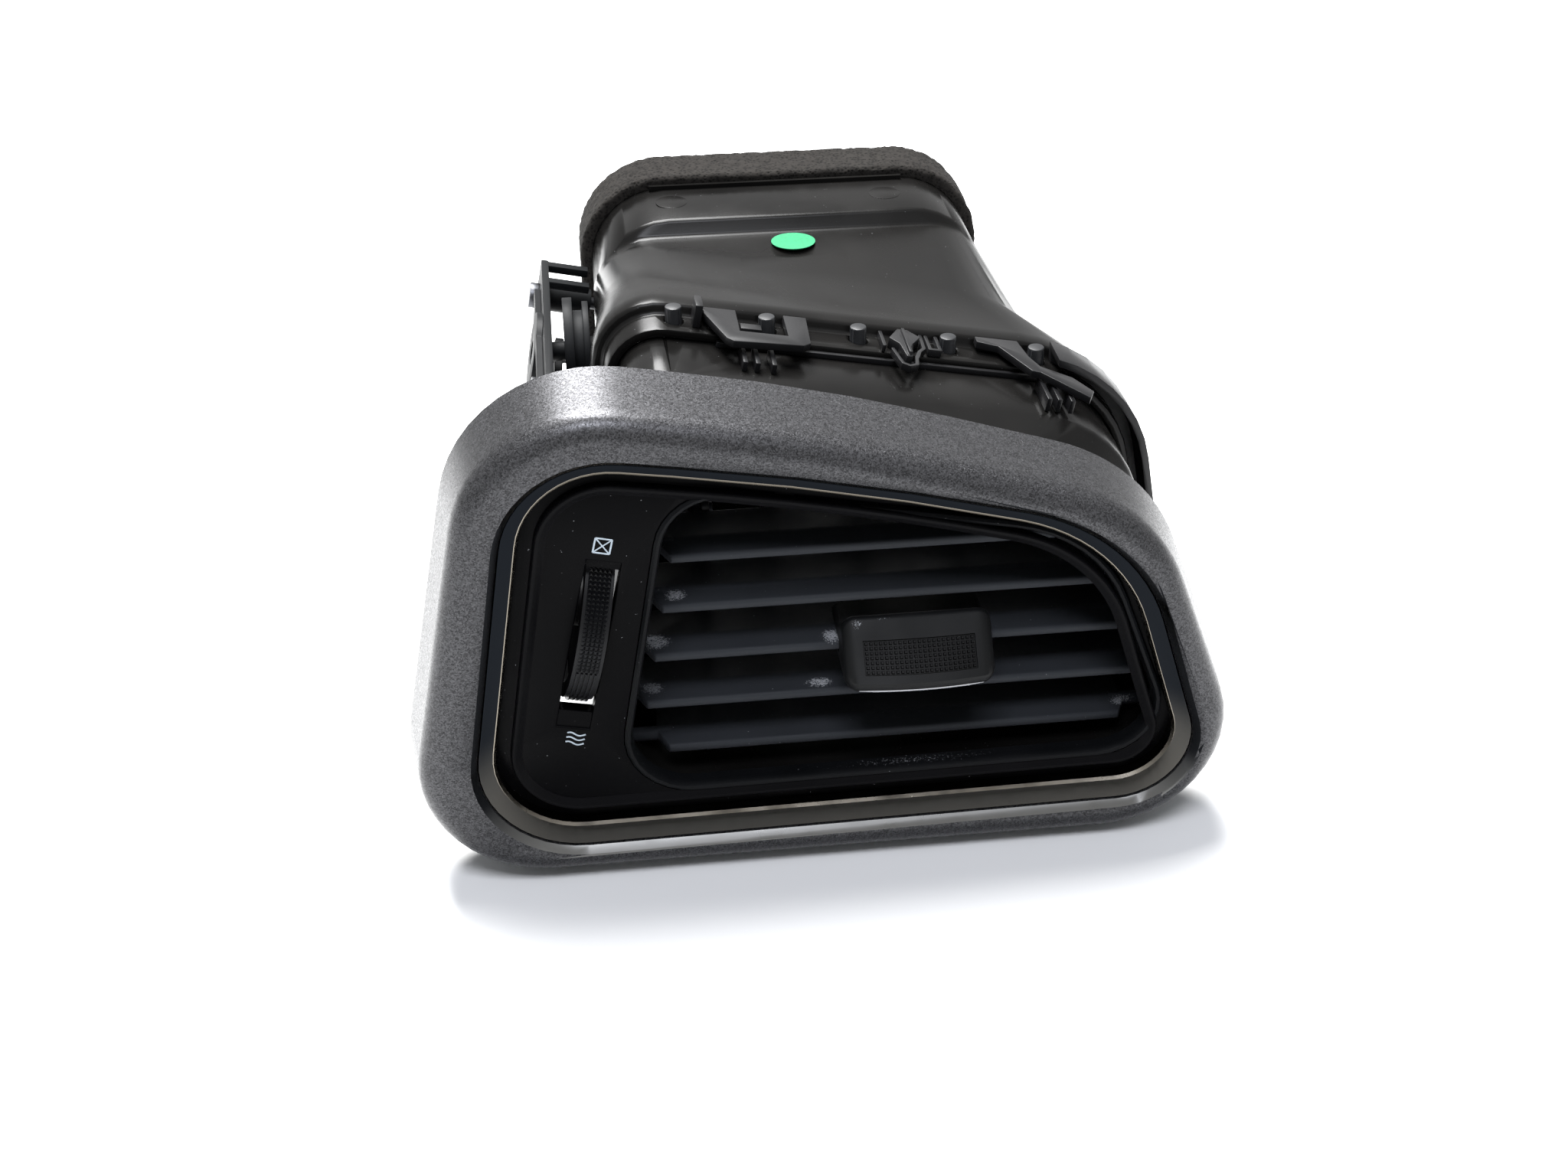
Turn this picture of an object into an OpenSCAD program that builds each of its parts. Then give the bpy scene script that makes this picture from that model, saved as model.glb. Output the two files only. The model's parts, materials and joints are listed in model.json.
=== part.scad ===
/* [Surround] */
// Growth of the surround's front outline, outward
front_grow = 0; // [-1:0.1:1]
// Radius of the roll from the front to the flank
roll_r = 5; // [3:0.5:6]
// How far the flank spreads between the roll and the seat
flank_spread = 2; // [1:0.2:4]
// Depth of the surround, from its crest to the seat on the dashboard
surround_depth = 17; // [15:0.5:20]
// Wall of the surround
surround_wall = 2.2; // [1.8:0.1:2.6]
// Width of the bright chamfer beside the ring
chamfer_w = 1.4; // [0.8:0.1:2]

/* [Trim ring and panel] */
// Width of the metallic ring, seen from the front
ring_w = 3.5; // [2.5:0.1:4.5]
// How much deeper the ring's inner edge lies than its outer edge
ring_drop = 2.8; // [1:0.1:4]
// Depth of the ring's outer edge behind the crest
ring_inset = 2; // [1:0.1:3]
// Depth of the panel's face behind the crest
panel_inset = 6.2; // [5.5:0.1:8]
// Width of the groove between the ring and the panel
groove_w = 3; // [1.5:0.1:4]
// Depth of that groove below the panel's face
groove_d = 1.2; // [0.6:0.1:2]
// Wall of the panel
panel_wall = 2.2; // [1.6:0.1:3]

/* [Louvre] */
// Number of horizontal slats
slat_count = 5; // [3:1:5]
// Distance from one slat to the next
slat_pitch = 11.75; // [11:0.25:12.25]
// Depth of a slat, from its front edge to its rear edge
slat_chord = 17; // [14:0.5:17.5]
// Thickness of a slat
slat_t = 2.1; // [1.5:0.1:2.6]
// Distance from a slat's front edge to its pivot
slat_lead = 6; // [5:0.5:7]
// Radius of a slat's end pins
slat_pin_r = 1.5; // [1:0.1:1.8]
// Largest tilt of the slats, up or down
slat_tilt = 22; // [10:1:24]

/* [Vanes] */
// Number of upright vanes
vane_count = 5; // [3:2:5]
// Distance from one vane to the next
vane_pitch = 19.3; // [17:0.1:19.5]
// Distance from a vane's pivot to its front edge
vane_lead = 20; // [19:0.5:21]
// Distance from a vane's pivot to its rear edge
vane_tail = 6; // [4:0.5:7]
// Greatest thickness of a vane
vane_t = 2.2; // [1.6:0.1:2.8]
// Radius of a vane's end pins
vane_pin_r = 1.75; // [1.4:0.05:2]
// Reach of the pin that the grip's fork drives, ahead of the pivot
drive_reach = 18; // [17:0.5:18.5]
// Travel of the grip to either side
grip_travel = 8; // [4:0.5:9]

/* [Grip] */
// Width of the grip
grip_w = 30.5; // [27:0.5:32]
// Height of the grip above its slat
grip_up = 8.4; // [7:0.2:8.6]
// Depth of the grip below its slat
grip_down = 4.2; // [3.4:0.2:5]
// How far the grip stands out ahead of its slat
grip_out = 12.5; // [9:0.5:14]
// Length of the patterned pad on the grip
pad_w = 22.5; // [18:0.5:24]
// Columns of small pyramids on the pad
grip_cols = 23; // [9:1:23]
// Rows of small pyramids on the pad
grip_rows = 7; // [3:1:7]

/* [Thumbwheel and damper] */
// Radius of the thumbwheel
wheel_r = 20; // [17:0.5:20.5]
// Width of the thumbwheel
wheel_w = 5.6; // [4.5:0.1:6]
// Lean of the thumbwheel to the right, in degrees
wheel_lean = 12; // [6:1:14]
// How far the thumbwheel stands out of the panel
wheel_out = 5.5; // [4:0.5:7]
// Number of grip teeth round the thumbwheel
wheel_teeth = 72; // [36:4:80]
// Radius at which the rod is pinned to the wheel and to the drum
crank_r = 9; // [7:0.5:9.5]
// Radius of the damper's drum
drum_r = 12; // [11.5:0.5:13]

/* [Housing and duct] */
// Wall of the housing and of the duct
wall = 2.2; // [1.8:0.1:2.6]
// Depth from the seat to the seam between housing and duct
seam_depth = 38; // [37:0.5:39]
// Height of the step between the duct's rim and its body
rim_step = 2.4; // [1.6:0.1:2.8]
// Length of the duct's body, from the damper's axis to the step
body_l = 17; // [15:1:20]
// Length of the inlet neck, from the step to its end
neck_l = 34; // [30:1:38]
// Width of the inlet neck
neck_w = 92.5; // [90:0.5:98]
// Height of the inlet neck
neck_h = 53.5; // [50:0.5:60]
// Length of the foam band round the neck
foam_l = 13; // [8:0.5:16]
// Thickness of the foam band
foam_t = 2.8; // [2:0.1:4]

/* [Hidden] */

$fn = 32;
eps = 0.01;
// Longer than any piece, for cuts that go right through
through = 200;
// Clearance between pieces that turn or slide on each other
run_gap = 0.2;
// Clearance between pieces that are fitted together and stay still
fit_gap = 0.15;

// Outlines are lists of [x, z, corner radius, steps in the corner], counter-clockwise from the front.
// x runs to the right and z up. The origin is on the outlet's axis, in the plane of the seat.
ring_corners = [
    [-89.7, -43.8, 20.7, 12], [66.5, -42.3, 15, 12], [44.2, 23.5, 43, 12], [-11.1, 39.3, 530, 3],
    [-74.6, 48.9, 20.6, 12]
];
// The surround's front is wider on the left and over the top than below and on the right
bezel_corners = [
    [-97.7, -45.3, 20.8, 12], [72.7, -45.8, 19.9, 12], [43.9, 24.9, 36, 12], [-20.8, 45.4, 390, 3],
    [-77.2, 54.8, 23.9, 12]
];
outlet_corners = [[-57.3, -33.5, 12.6, 8], [58.3, -32.4, 11, 8], [37, 20.7, 30.7, 8], [-45.5, 36.5, 11, 8]];
barrel_corners = [[-58, -37.7, 13, 8], [63.2, -36.6, 12, 8], [39.2, 23.3, 31, 8], [-45, 39.4, 11, 8]];
housing_corners = [[-62, -41, 13, 8], [66, -41, 13, 8], [52, 27, 28, 8], [-52, 45.6, 9, 8]];
// The neck's left side stays beside the mechanism
neck_left = -55.5;
neck_right = neck_left + neck_w;
neck_top = 43.7;
neck_r = 18;
body_top = 40;
body_bottom = -6;
body_r = 14;
neck_corners = box_corners(neck_left, neck_top - neck_h, neck_right, neck_top, neck_r);
middle_corners = [
    [-57.4, -8.5, 13, 8], [neck_right + 6.5, -8.5, 13, 8], [neck_right + 8.5, 34, 22, 8], [-55.4, 44.6, 11, 8]
];
body_corners = box_corners(neck_left - 0.5, body_bottom, neck_right + 0.5, body_top, body_r);

// Depths along y. The seat is at zero, the front is negative.
crest_y = -surround_depth;
ring_y = crest_y + ring_inset;
ring_inner_y = ring_y + ring_drop;
panel_y = crest_y + panel_inset;
flange_y = panel_y + groove_d;
panel_back_y = flange_y + panel_wall;
frame_back_y = panel_back_y;
frame_w = 1.6;
slat_front_y = -3;
slat_pivot_y = slat_front_y + slat_lead;
slat_rear_y = slat_front_y + slat_chord;
link_arm = 13;
vane_pivot_y = 43;
vane_front_y = vane_pivot_y - vane_lead;
drive_y = vane_pivot_y - drive_reach;
flare_y = slat_rear_y + 0.5;
flare_l = 7.5;
housing_back_y = vane_pivot_y + vane_tail;
duct_turn_y = housing_back_y + 2;
rim_y = seam_depth + 7;
middle_y = 70;
drum_y = 81;
step_depth = drum_y + body_l;
step_run = 1.6;
body_y = step_depth - 3;
neck_depth = step_depth + neck_l;

// Places of the slats, the link and the grip
slat_mid_z = -6.7;
middle_slat = 3;
slat_link_x = -38;
slat_link_t = 1.6;
link_pin_r = 1;
grip_x = 3.2;
fork_x = -2;
vane_link_z = -28;
vane_link_reach = 14;
slat_end_gap = 0.5;

// Grip's section and fork
fork_gap = 0.45;
drive_pin_r = 1.2;
prong_w = 1.6;
tongue_t = 2;
tongue_z = slat_t / 2 + 0.3;
fork_end_y = drive_y + 5.5;
fork_root_y = drive_y - 2.2;
grip_back_y = 7;
trim_inset = 2.5;
fork_window_down = 11.6;
fork_window_up = 15.4;

// Thumbwheel, plate and damper
wheel_x = -62.4;
wheel_z = 4;
wheel_y = panel_y - wheel_out + wheel_r;
slot_l = 34;
slot_w = 6.9;
recess_d = 0.6;
recess_up = 2;
recess_down = 4;
axle_r = 2.5;
axle_head_r = 4;
axle_head_t = 0.8;
crank_pin_r = 2;
crank_angle = -32.6;
plate_u = -10.7;
plate_t = 1.7;
arm_l = 9.4;
boss_r = 9;
boss_t = 1.3;
rod_u = -6.2;
rod_t = 1.8;
eye_r = 4;
drum_z = 21;
drum_left_x = -63.4;
drum_right_x = -57.6;
stub_r = 2.2;
stub_l = 6.4;
post_y = [60, step_depth + 6.6];
post_z = [22, 24];
post_end_u = [0.45, 1.7];
post_r = 3.2;
screw_r = 1.4;
screw_head_r = 3;
screw_head_t = 2;
screw_l = 15.3;
flap_t = 2;
flap_left = -53;
flap_right = neck_right + 0.5 - wall - 1;
flap_up = 15.8;
flap_down = 24;
flap_r = 12;
foam_edge = 2;
damper_pin_r = 3;

// Vane studs and clips on the duct's rim
stud_up = 3;
strap_up = 3.4;
strap_t = 1.6;
latch_t = 2.4;
loop_w = 0.8;
rib_t = 1;
cross_rib_l = 70;
fin_left = 40;
fin_foot = -8;
pad_l = 7;
pad_foot = 1.9;
pad_depth = 0.6;
pyramid_up = 0.4;

function unit(v) = v / norm(v);

function box_corners(x0, z0, x1, z1, r) = [[x0, z0, r, 8], [x1, z0, r, 8], [x1, z1, r, 8], [x0, z1, r, 8]];

// Points of one rounded corner between its neighbours, moved outward by grow
function corner_arc(a, p, b, grow) =
    let (
        here = [p[0], p[1]],
        to_a = unit([a[0], a[1]] - here),
        to_b = unit([b[0], b[1]] - here),
        half = acos(to_a * to_b) / 2,
        centre = here + unit(to_a + to_b) * p[2] / sin(half),
        start = here + to_a * p[2] / tan(half) - centre,
        turn = 180 - 2 * half,
        from = atan2(start[1], start[0])
    )
    [for (i = [0:p[3]]) centre + (p[2] + grow) * [cos(from + turn * i / p[3]), sin(from + turn * i / p[3])]];

// A closed outline with rounded corners, moved outward by grow
function outline(corners, grow = 0) =
    let (n = len(corners))
    [for (i = [0:n - 1]) each corner_arc(corners[(i + n - 1) % n], corners[i], corners[(i + 1) % n], grow)];

function at_depth(points, y) = [for (p = points) [p[0], y, p[1]]];

// Where a closed outline crosses a level: axis 1 gives x at a height, axis 0 gives z at a side position
function crossings(points, level, axis) =
    let (n = len(points), other = 1 - axis)
    [
        for (i = [0:n - 1])
            let (p = points[i], q = points[(i + 1) % n])
                if ((p[axis] - level) * (q[axis] - level) <= 0 && p[axis] != q[axis])
                    p[other] + (q[other] - p[other]) * (level - p[axis]) / (q[axis] - p[axis])
    ];

// A closed skin over loops of points, joined one to the next and the last to the first
module skin(loops) {
    m = len(loops);
    n = len(loops[0]);
    polyhedron(
        points = [for (l = loops) each l],
        faces = [
            for (i = [0:m - 1], j = [0:n - 1])
                let (a = i * n + j, b = i * n + (j + 1) % n)
                let (c = ((i + 1) % m) * n + (j + 1) % n, d = ((i + 1) % m) * n + j)
                each [[a, c, b], [a, d, c]]
        ]
    );
}

// A flat plate of an outline, between two depths
module slab(y0, y1, points) {
    translate([0, y1, 0]) rotate([90, 0, 0]) linear_extrude(y1 - y0) polygon(points);
}

// A shape drawn in y and z, extruded along x
module along_x(x0, x1) {
    translate([x0, 0, 0]) rotate([90, 0, 90]) linear_extrude(x1 - x0) children();
}

module rod_x(x0, x1, y, z, r) {
    translate([x0, y, z]) rotate([0, 90, 0]) cylinder(h = x1 - x0, r = r);
}

module rod_z(z0, z1, x, y, r) {
    translate([x, y, z0]) cylinder(h = z1 - z0, r = r);
}

// Places what follows on the thumbwheel's centre, leaning with it
module leaning() {
    translate([wheel_x, wheel_y, wheel_z]) rotate([0, wheel_lean, 0]) children();
}

// Painted surround's cross-section from the ring outward: [outline, distance outside it, depth]
function bezel_section() =
    let (
        inner = ring_corners,
        front = bezel_corners,
        roll = [
            for (i = [0:6])
                [front, front_grow + roll_r * sin(90 * i / 6), crest_y + roll_r * (1 - cos(90 * i / 6))]
        ],
        edge = front_grow + roll_r
    )
    concat(
        [[inner, fit_gap, flange_y], [inner, fit_gap, crest_y + chamfer_w + 0.3], [inner, chamfer_w, crest_y + 0.3]],
        roll,
        [
            [front, edge + flank_spread, 0],
            [front, edge + flank_spread - surround_wall, 0],
            [front, edge - surround_wall, crest_y + roll_r],
            [inner, fit_gap + 2.5, crest_y + surround_wall + 1.2],
            [inner, fit_gap + 2.2, flange_y]
        ]
    );

module bezel() {
    section = bezel_section();
    color("#7d7d80") skin([
        for (i = [len(section) - 1:-1:0]) at_depth(outline(section[i][0], section[i][1]), section[i][2])
    ]);
}

module trim_ring() {
    bead = 0.35;
    section = [
        [0, flange_y], [0, ring_y + 0.2], [-0.3, ring_y], [0.6 - ring_w, ring_inner_y - 0.45],
        [0.35 - ring_w, ring_inner_y - 0.45 - bead], [-ring_w, ring_inner_y], [-ring_w, flange_y]
    ];
    color("#4d4f54") skin([for (i = [len(section) - 1:-1:0])
        at_depth(outline(ring_corners, section[i][0]), section[i][1])]);
}

// Panel behind the ring, with the outlet's hole and the thumbwheel's slot
module fascia() {
    color("#131416") difference() {
        union() {
            slab(flange_y, panel_back_y, outline(bezel_corners, front_grow + roll_r - surround_wall - 0.5));
            slab(panel_y, flange_y + eps, outline(ring_corners, -ring_w - groove_w));
        }
        slab(panel_y - 1, panel_back_y + 1, outline(outlet_corners, frame_w + fit_gap));
        leaning() {
            translate([-slot_w / 2, -wheel_r - 5, -slot_l / 2]) cube([slot_w, 30, slot_l]);
            translate([-slot_w / 2, -wheel_r - 5, -slot_l / 2 - recess_down])
                cube([slot_w, wheel_r + 5 + panel_y + recess_d - wheel_y, slot_l + recess_down + recess_up]);
        }
    }
}

// Rolled lip round the outlet, inside the panel
module outlet_frame() {
    section = [
        [frame_w, panel_y], [1.1, panel_y - 0.5], [0.5, panel_y - 0.3], [0.1, panel_y + 0.4], [0, panel_y + 1.4],
        [0, frame_back_y], [frame_w, frame_back_y]
    ];
    color("#18191b") skin([for (i = [len(section) - 1:-1:0])
        at_depth(outline(outlet_corners, section[i][0]), section[i][1])]);
}

// Places of the slats from the top down, counted from 1
function slat_z(k) = slat_mid_z + (middle_slat - k) * slat_pitch;

// The barrel's side walls at a height, with the heights that a tilting slat sweeps
function sweep_levels(z) =
    let (rise = (slat_chord - slat_lead) * sin(slat_tilt) + slat_t / 2)
    [z - rise, z, z + rise];
function slat_left(z) =
    max([for (l = sweep_levels(z)) min(crossings(outline(barrel_corners), l, 1))]) + slat_end_gap;
function slat_right(z) =
    min([for (l = sweep_levels(z)) max(crossings(outline(barrel_corners), l, 1))]) - slat_end_gap;
function barrel_left(z) = min(crossings(outline(barrel_corners, wall), z, 1));
function barrel_right(z) = max(crossings(outline(barrel_corners, wall), z, 1));

// Places of the vanes from the left, counted from 1
function vane_x(k) = fork_x + (k - (vane_count + 1) / 2) * vane_pitch;
function swept_x(k) = let (reach = vane_lead * grip_travel / drive_reach) [vane_x(k) - reach, vane_x(k), vane_x(k) + reach];
function vane_top(k) = min([for (x = swept_x(k)) max(crossings(outline(housing_corners, -wall), x, 0))]) - 0.6;
function vane_foot(k) = max([for (x = swept_x(k)) min(crossings(outline(housing_corners, -wall), x, 0))]) + 0.6;
function collar_top(x) = max(crossings(outline(housing_corners, fit_gap + wall), x, 0));
function housing_foot(x) = min(crossings(outline(housing_corners), x, 0));

module vane_bores(r) {
    for (k = [1:vane_count]) rod_z(-through, through, vane_x(k), vane_pivot_y, r);
}

// Barrel of the outlet: it carries the slats, flares behind them and holds the vanes
module front_housing() {
    mouth = [for (g = [wall, 0]) outline(barrel_corners, g)];
    rear = [for (g = [0, -wall]) outline(housing_corners, g)];
    color("#1b1c1e") difference() {
        skin([
            at_depth(mouth[0], panel_back_y), at_depth(mouth[0], flare_y - 1),
            at_depth(rear[0], flare_y + flare_l - 1), at_depth(rear[0], housing_back_y),
            at_depth(rear[1], housing_back_y), at_depth(rear[1], flare_y + flare_l),
            at_depth(mouth[1], flare_y), at_depth(mouth[1], panel_back_y)
        ]);
        for (k = [1:slat_count])
            rod_x(-through, through, slat_pivot_y, slat_z(k), slat_pin_r + run_gap);
        vane_bores(vane_pin_r + run_gap);
    }
}

// Loops of the duct's skin, from the seam to the neck outside and back inside
function duct_loops() =
    let (inner = fit_gap, outer = fit_gap + wall)
    [
        at_depth(outline(housing_corners, outer), seam_depth),
        at_depth(outline(housing_corners, outer), rim_y),
        at_depth(outline(housing_corners, outer + rim_step), rim_y + 0.3),
        at_depth(outline(housing_corners, outer + rim_step), duct_turn_y - 1),
        at_depth(outline(middle_corners), middle_y),
        at_depth(outline(body_corners), body_y),
        at_depth(outline(body_corners), step_depth),
        at_depth(outline(neck_corners), step_depth + step_run),
        at_depth(outline(neck_corners), neck_depth),
        at_depth(outline(neck_corners, -wall), neck_depth),
        at_depth(outline(neck_corners, -wall), step_depth + step_run + wall),
        at_depth(outline(body_corners, -wall), step_depth + wall - 0.2),
        at_depth(outline(body_corners, -wall), body_y + 0.5),
        at_depth(outline(middle_corners, -wall), middle_y + 0.5),
        at_depth(outline(housing_corners, inner), duct_turn_y + 0.5),
        at_depth(outline(housing_corners, inner), seam_depth)
    ];

// Places what follows on a post between the side plate and the duct, square to the plate
module place_post(i) {
    v = plate_u * tan(wheel_lean) + (post_z[i] - wheel_z) / cos(wheel_lean);
    leaning() translate([0, post_y[i] - wheel_y, v]) children();
}

// Duct from the seam to the inlet neck
module rear_duct() {
    color("#1b1c1e") difference() {
        skin(duct_loops());
        vane_bores(vane_pin_r + run_gap);
        rod_x(-through, neck_left + neck_w / 2, drum_y, drum_z, damper_pin_r + run_gap);
        for (i = [0, 1]) place_post(i) rod_x(0, 10, 0, 0, screw_r + 0.05);
    }
}

// Places what follows on the housing's sloping top: x along the slope, z square to it
rim_slope = atan2(housing_corners[3][1] - housing_corners[2][1], housing_corners[2][0] - housing_corners[3][0]);
module on_rim() {
    translate([0, 0, max(crossings(outline(housing_corners), 0, 0))]) rotate([0, rim_slope, 0]) children();
}

// Flat bar of the latch's wire loop through a list of points
module wire(points, h) {
    for (i = [0:len(points) - 2])
        let (run = points[i + 1] - points[i])
        translate(points[i]) rotate(atan2(run[1], run[0])) translate([0, -loop_w / 2, 0]) cube([norm(run), loop_w, h]);
    for (p = points) translate(p) cylinder(h = h, r = loop_w / 2);
}

// Clips on the duct's rim: a looped strap, a spear in a wire loop, a square loop and a swept lug
module rim_clips() {
    end_y = rim_y - fit_gap / 3;
    wire_y = end_y - loop_w / 2;
    ledge = fit_gap + wall + fit_gap / 3;
    color("#1c1d1f") on_rim() {
        translate([0, 0, strap_up]) linear_extrude(strap_t) difference() {
            polygon([
                [-35.8, end_y], [-35.8, end_y - 3], [-32, 31.6], [-30.6, 30.4], [-16, 31.6], [-14.4, 33], [-13.9, end_y]
            ]);
            translate([-28.9, 35.4]) square([10.1, end_y]);
        }
        translate([-38, end_y - 5, ledge]) cube([1.6, 5, 5]);
        translate([-38, end_y - 1.6, ledge]) cube([3, 1.6, strap_up + strap_t - ledge]);
        translate([-28.2, 38.6, ledge]) cube([4.4, 2.4, 1.7]);
        translate([0, 0, ledge]) linear_extrude(latch_t) polygon([
            [5.9, end_y], [8, end_y], [10.4, 42], [8.2, 38.5], [7.1, 32.4], [5.9, 32.4], [5.3, 38], [3.4, 40.4]
        ]);
        translate([6.4, 33, ledge + latch_t - eps]) cube([0.7, end_y - 34, 0.8]);
        translate([0, 0, ledge]) wire([
            [2.3, wire_y], [2.3, 38.4], [3.9, 37], [4.6, 32.6], [5, 30.8], [6.4, 29.9], [7.9, 30.7], [8.5, 34.2],
            [9.5, 36.8], [10.8, 38.6], [11, wire_y]
        ], 1.6);
        translate([0, 0, ledge]) wire([[12.2, wire_y], [12.2, 38.6], [14.4, 38.6], [14.4, wire_y]], 1.6);
        translate([0, 0, strap_up]) linear_extrude(strap_t) polygon([
            [23, end_y], [23, end_y - 2.4], [27.5, 41.4], [32.6, 31.4], [34.4, 31], [43, 21.6], [44.4, 24.6],
            [41.2, 30], [35, 33.8], [33.4, 38], [32.4, end_y]
        ]);
    }
}

// Ribs on the front housing, under the strap and under the swept lug
module housing_ribs() {
    color("#1b1c1e") on_rim() {
        for (x = [-28.6, -26, -22.6]) translate([x, 27, fit_gap / 3]) cube([rib_t, 8, 2.2]);
        for (x = [34.6, 36.8, 39.6]) translate([x, 23, fit_gap / 3]) cube([rib_t, 10, 3]);
        translate([-33, seam_depth - 1.4, fit_gap / 3]) cube([cross_rib_l, 1, 1.2]);
    }
}

// Fin round the right of the duct's rim, open to the front
module rim_fin() {
    root = fit_gap + wall + fit_gap / 3;
    color("#1c1d1f") intersection() {
        difference() {
            slab(rim_y - 9, rim_y - fit_gap / 3, outline(housing_corners, root + 4));
            slab(rim_y - 10, rim_y - 2, outline(housing_corners, root + 2.4));
            slab(rim_y - 10, rim_y + 1, outline(housing_corners, root));
        }
        translate([fin_left, 0, fin_foot]) cube(through);
    }
}

module foam_seal() {
    color("#3b3734") difference() {
        slab(neck_depth - foam_l, neck_depth + 1, outline(neck_corners, foam_t));
        slab(neck_depth - foam_l - 1, neck_depth + 2, outline(neck_corners));
    }
}

// One horizontal slat: its plan with chamfered front corners, cut from its blade section
module slat(k) {
    z = slat_z(k);
    x0 = slat_left(z);
    x1 = slat_right(z);
    cut_x = 2.5;
    cut_y = 4.5;
    edge = 0.5;
    t = slat_t / 2;
    color("#141516") {
        translate([0, 0, z]) intersection() {
            along_x(x0, x1) polygon([
                [slat_front_y, edge - t], [slat_front_y + edge, -t], [slat_pivot_y, -t - 0.2],
                [slat_rear_y - edge, -t + 0.4], [slat_rear_y, 0],
                [slat_rear_y - edge, t - 0.4], [slat_pivot_y, t + 0.2], [slat_front_y + edge, t],
                [slat_front_y, t - edge]
            ]);
            translate([0, 0, -5]) linear_extrude(10) polygon([
                [x0 + cut_x, slat_front_y - 1], [x1 - cut_x, slat_front_y - 1],
                [x1, slat_front_y + cut_y], [x1, slat_rear_y + 1], [x0, slat_rear_y + 1],
                [x0, slat_front_y + cut_y]
            ]);
        }
        rod_x(barrel_left(z), x0 + 3, slat_pivot_y, z, slat_pin_r);
        rod_x(x1 - 3, barrel_right(z), slat_pivot_y, z, slat_pin_r);
        slat_lug(z);
    }
}

// Lug behind a slat, with the pin that the link snaps on
module slat_lug(z) {
    y = slat_pivot_y + link_arm;
    lug_x = slat_link_x - run_gap - 1.6;
    along_x(lug_x, lug_x + 1.6) translate([slat_rear_y - 4, z - 0.8]) square([y - slat_rear_y + 4, 1.6]);
    rod_x(lug_x, lug_x + 1.6, y, z, 1.7);
    rod_x(lug_x + 1.6, slat_link_x + slat_link_t + 0.8, y, z, link_pin_r);
}

module slat_link() {
    y = slat_pivot_y + link_arm;
    top = slat_z(1);
    foot = slat_z(slat_count);
    r = link_pin_r + 1;
    color("#26282a") along_x(slat_link_x, slat_link_x + slat_link_t) difference() {
        union() {
            translate([y - r * 0.65, foot]) square([r * 1.3, top - foot]);
            for (k = [1:slat_count]) translate([y, slat_z(k)]) circle(r);
        }
        for (k = [1:slat_count]) translate([y, slat_z(k)]) circle(link_pin_r + run_gap);
    }
}

// Grip's section in y and z, about its slat's plane
function grip_section() =
    let (
        nose_y = slat_front_y - grip_out,
        top_y = slat_front_y - 2.2,
        roll = 2.4
    )
    concat(
        [[grip_back_y, -grip_down + 1.2], [grip_back_y - 2, -grip_down], [nose_y + roll + 1, -grip_down]],
        [for (i = [0:4]) let (a = 270 - 100 * i / 4) [nose_y + roll + roll * cos(a), -grip_down + roll + roll * sin(a)]],
        [for (i = [0:4]) let (a = 135 - 60 * i / 4) [top_y + 1.6 * cos(a), grip_up - 1.6 + 1.6 * sin(a)]],
        [[slat_front_y + 3, slat_t / 2 + 3.2], [grip_back_y, slat_t / 2 + 3]]
    );

// Places what follows at the foot of the grip's sloping face, square to the face
module on_grip_face() {
    section = grip_section();
    foot = section[7];
    head = section[8];
    translate([grip_x, foot[0], foot[1]]) rotate([atan2(head[1] - foot[1], head[0] - foot[0]), 0, 0]) children();
}

module grip() {
    color("#1a1b1d") translate([0, 0, slat_mid_z]) difference() {
        along_x(grip_x - grip_w / 2, grip_x + grip_w / 2) polygon(grip_section());
        on_grip_face() translate([-pad_w / 2 - fit_gap, pad_foot - fit_gap, -pad_depth])
            cube([pad_w + 2 * fit_gap, pad_l + 2 * fit_gap, 2 * pad_depth]);
        translate([grip_x - grip_w, slat_front_y - run_gap, -slat_t / 2 - 0.4])
            cube([2 * grip_w, slat_chord, slat_t + 0.8]);
        translate([fork_x - 5, slat_front_y + 3, -1]) cube([10, 10, tongue_z + tongue_t + 1 + fit_gap]);
    }
}

// Patterned pad let into the grip's face: rows of small pyramids on one plate
module grip_pad() {
    cols = grip_cols;
    rows = grip_rows;
    step_x = pad_w / cols;
    step_y = pad_l / rows;
    low = -pyramid_up * 0.8;
    grid = [for (j = [0:rows], i = [0:cols]) [(i - cols / 2) * step_x, j * step_y, low]];
    tips = [
        for (j = [0:rows - 1], i = [0:cols - 1])
            [(i + 0.5 - cols / 2) * step_x, (j + 0.5) * step_y, low + pyramid_up]
    ];
    base = [for (y = [0, pad_l], x = [-1, 1]) [x * pad_w / 2, y, fit_gap / 3 - pad_depth]];
    n = (rows + 1) * (cols + 1);
    b = n + rows * cols;
    far = n - 1 - cols;
    color("#1c1d1f") translate([0, 0, slat_mid_z]) on_grip_face() translate([0, pad_foot, 0]) polyhedron(
        points = concat(grid, tips, base),
        faces = concat(
            [
                for (j = [0:rows - 1], i = [0:cols - 1])
                    let (a = j * (cols + 1) + i, t = n + j * cols + i)
                    each [[a, t, a + 1], [a + 1, t, a + cols + 2], [a + cols + 2, t, a + cols + 1], [a + cols + 1, t, a]]
            ],
            [
                concat([b + 1, b], [for (i = [0:cols]) i]),
                concat([b + 2, b + 3], [for (i = [cols:-1:0]) far + i]),
                concat([b, b + 2], [for (j = [rows:-1:0]) j * (cols + 1)]),
                concat([b + 3, b + 1], [for (j = [0:rows]) j * (cols + 1) + cols]),
                [b, b + 1, b + 3, b + 2]
            ]
        )
    );
}

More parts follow.
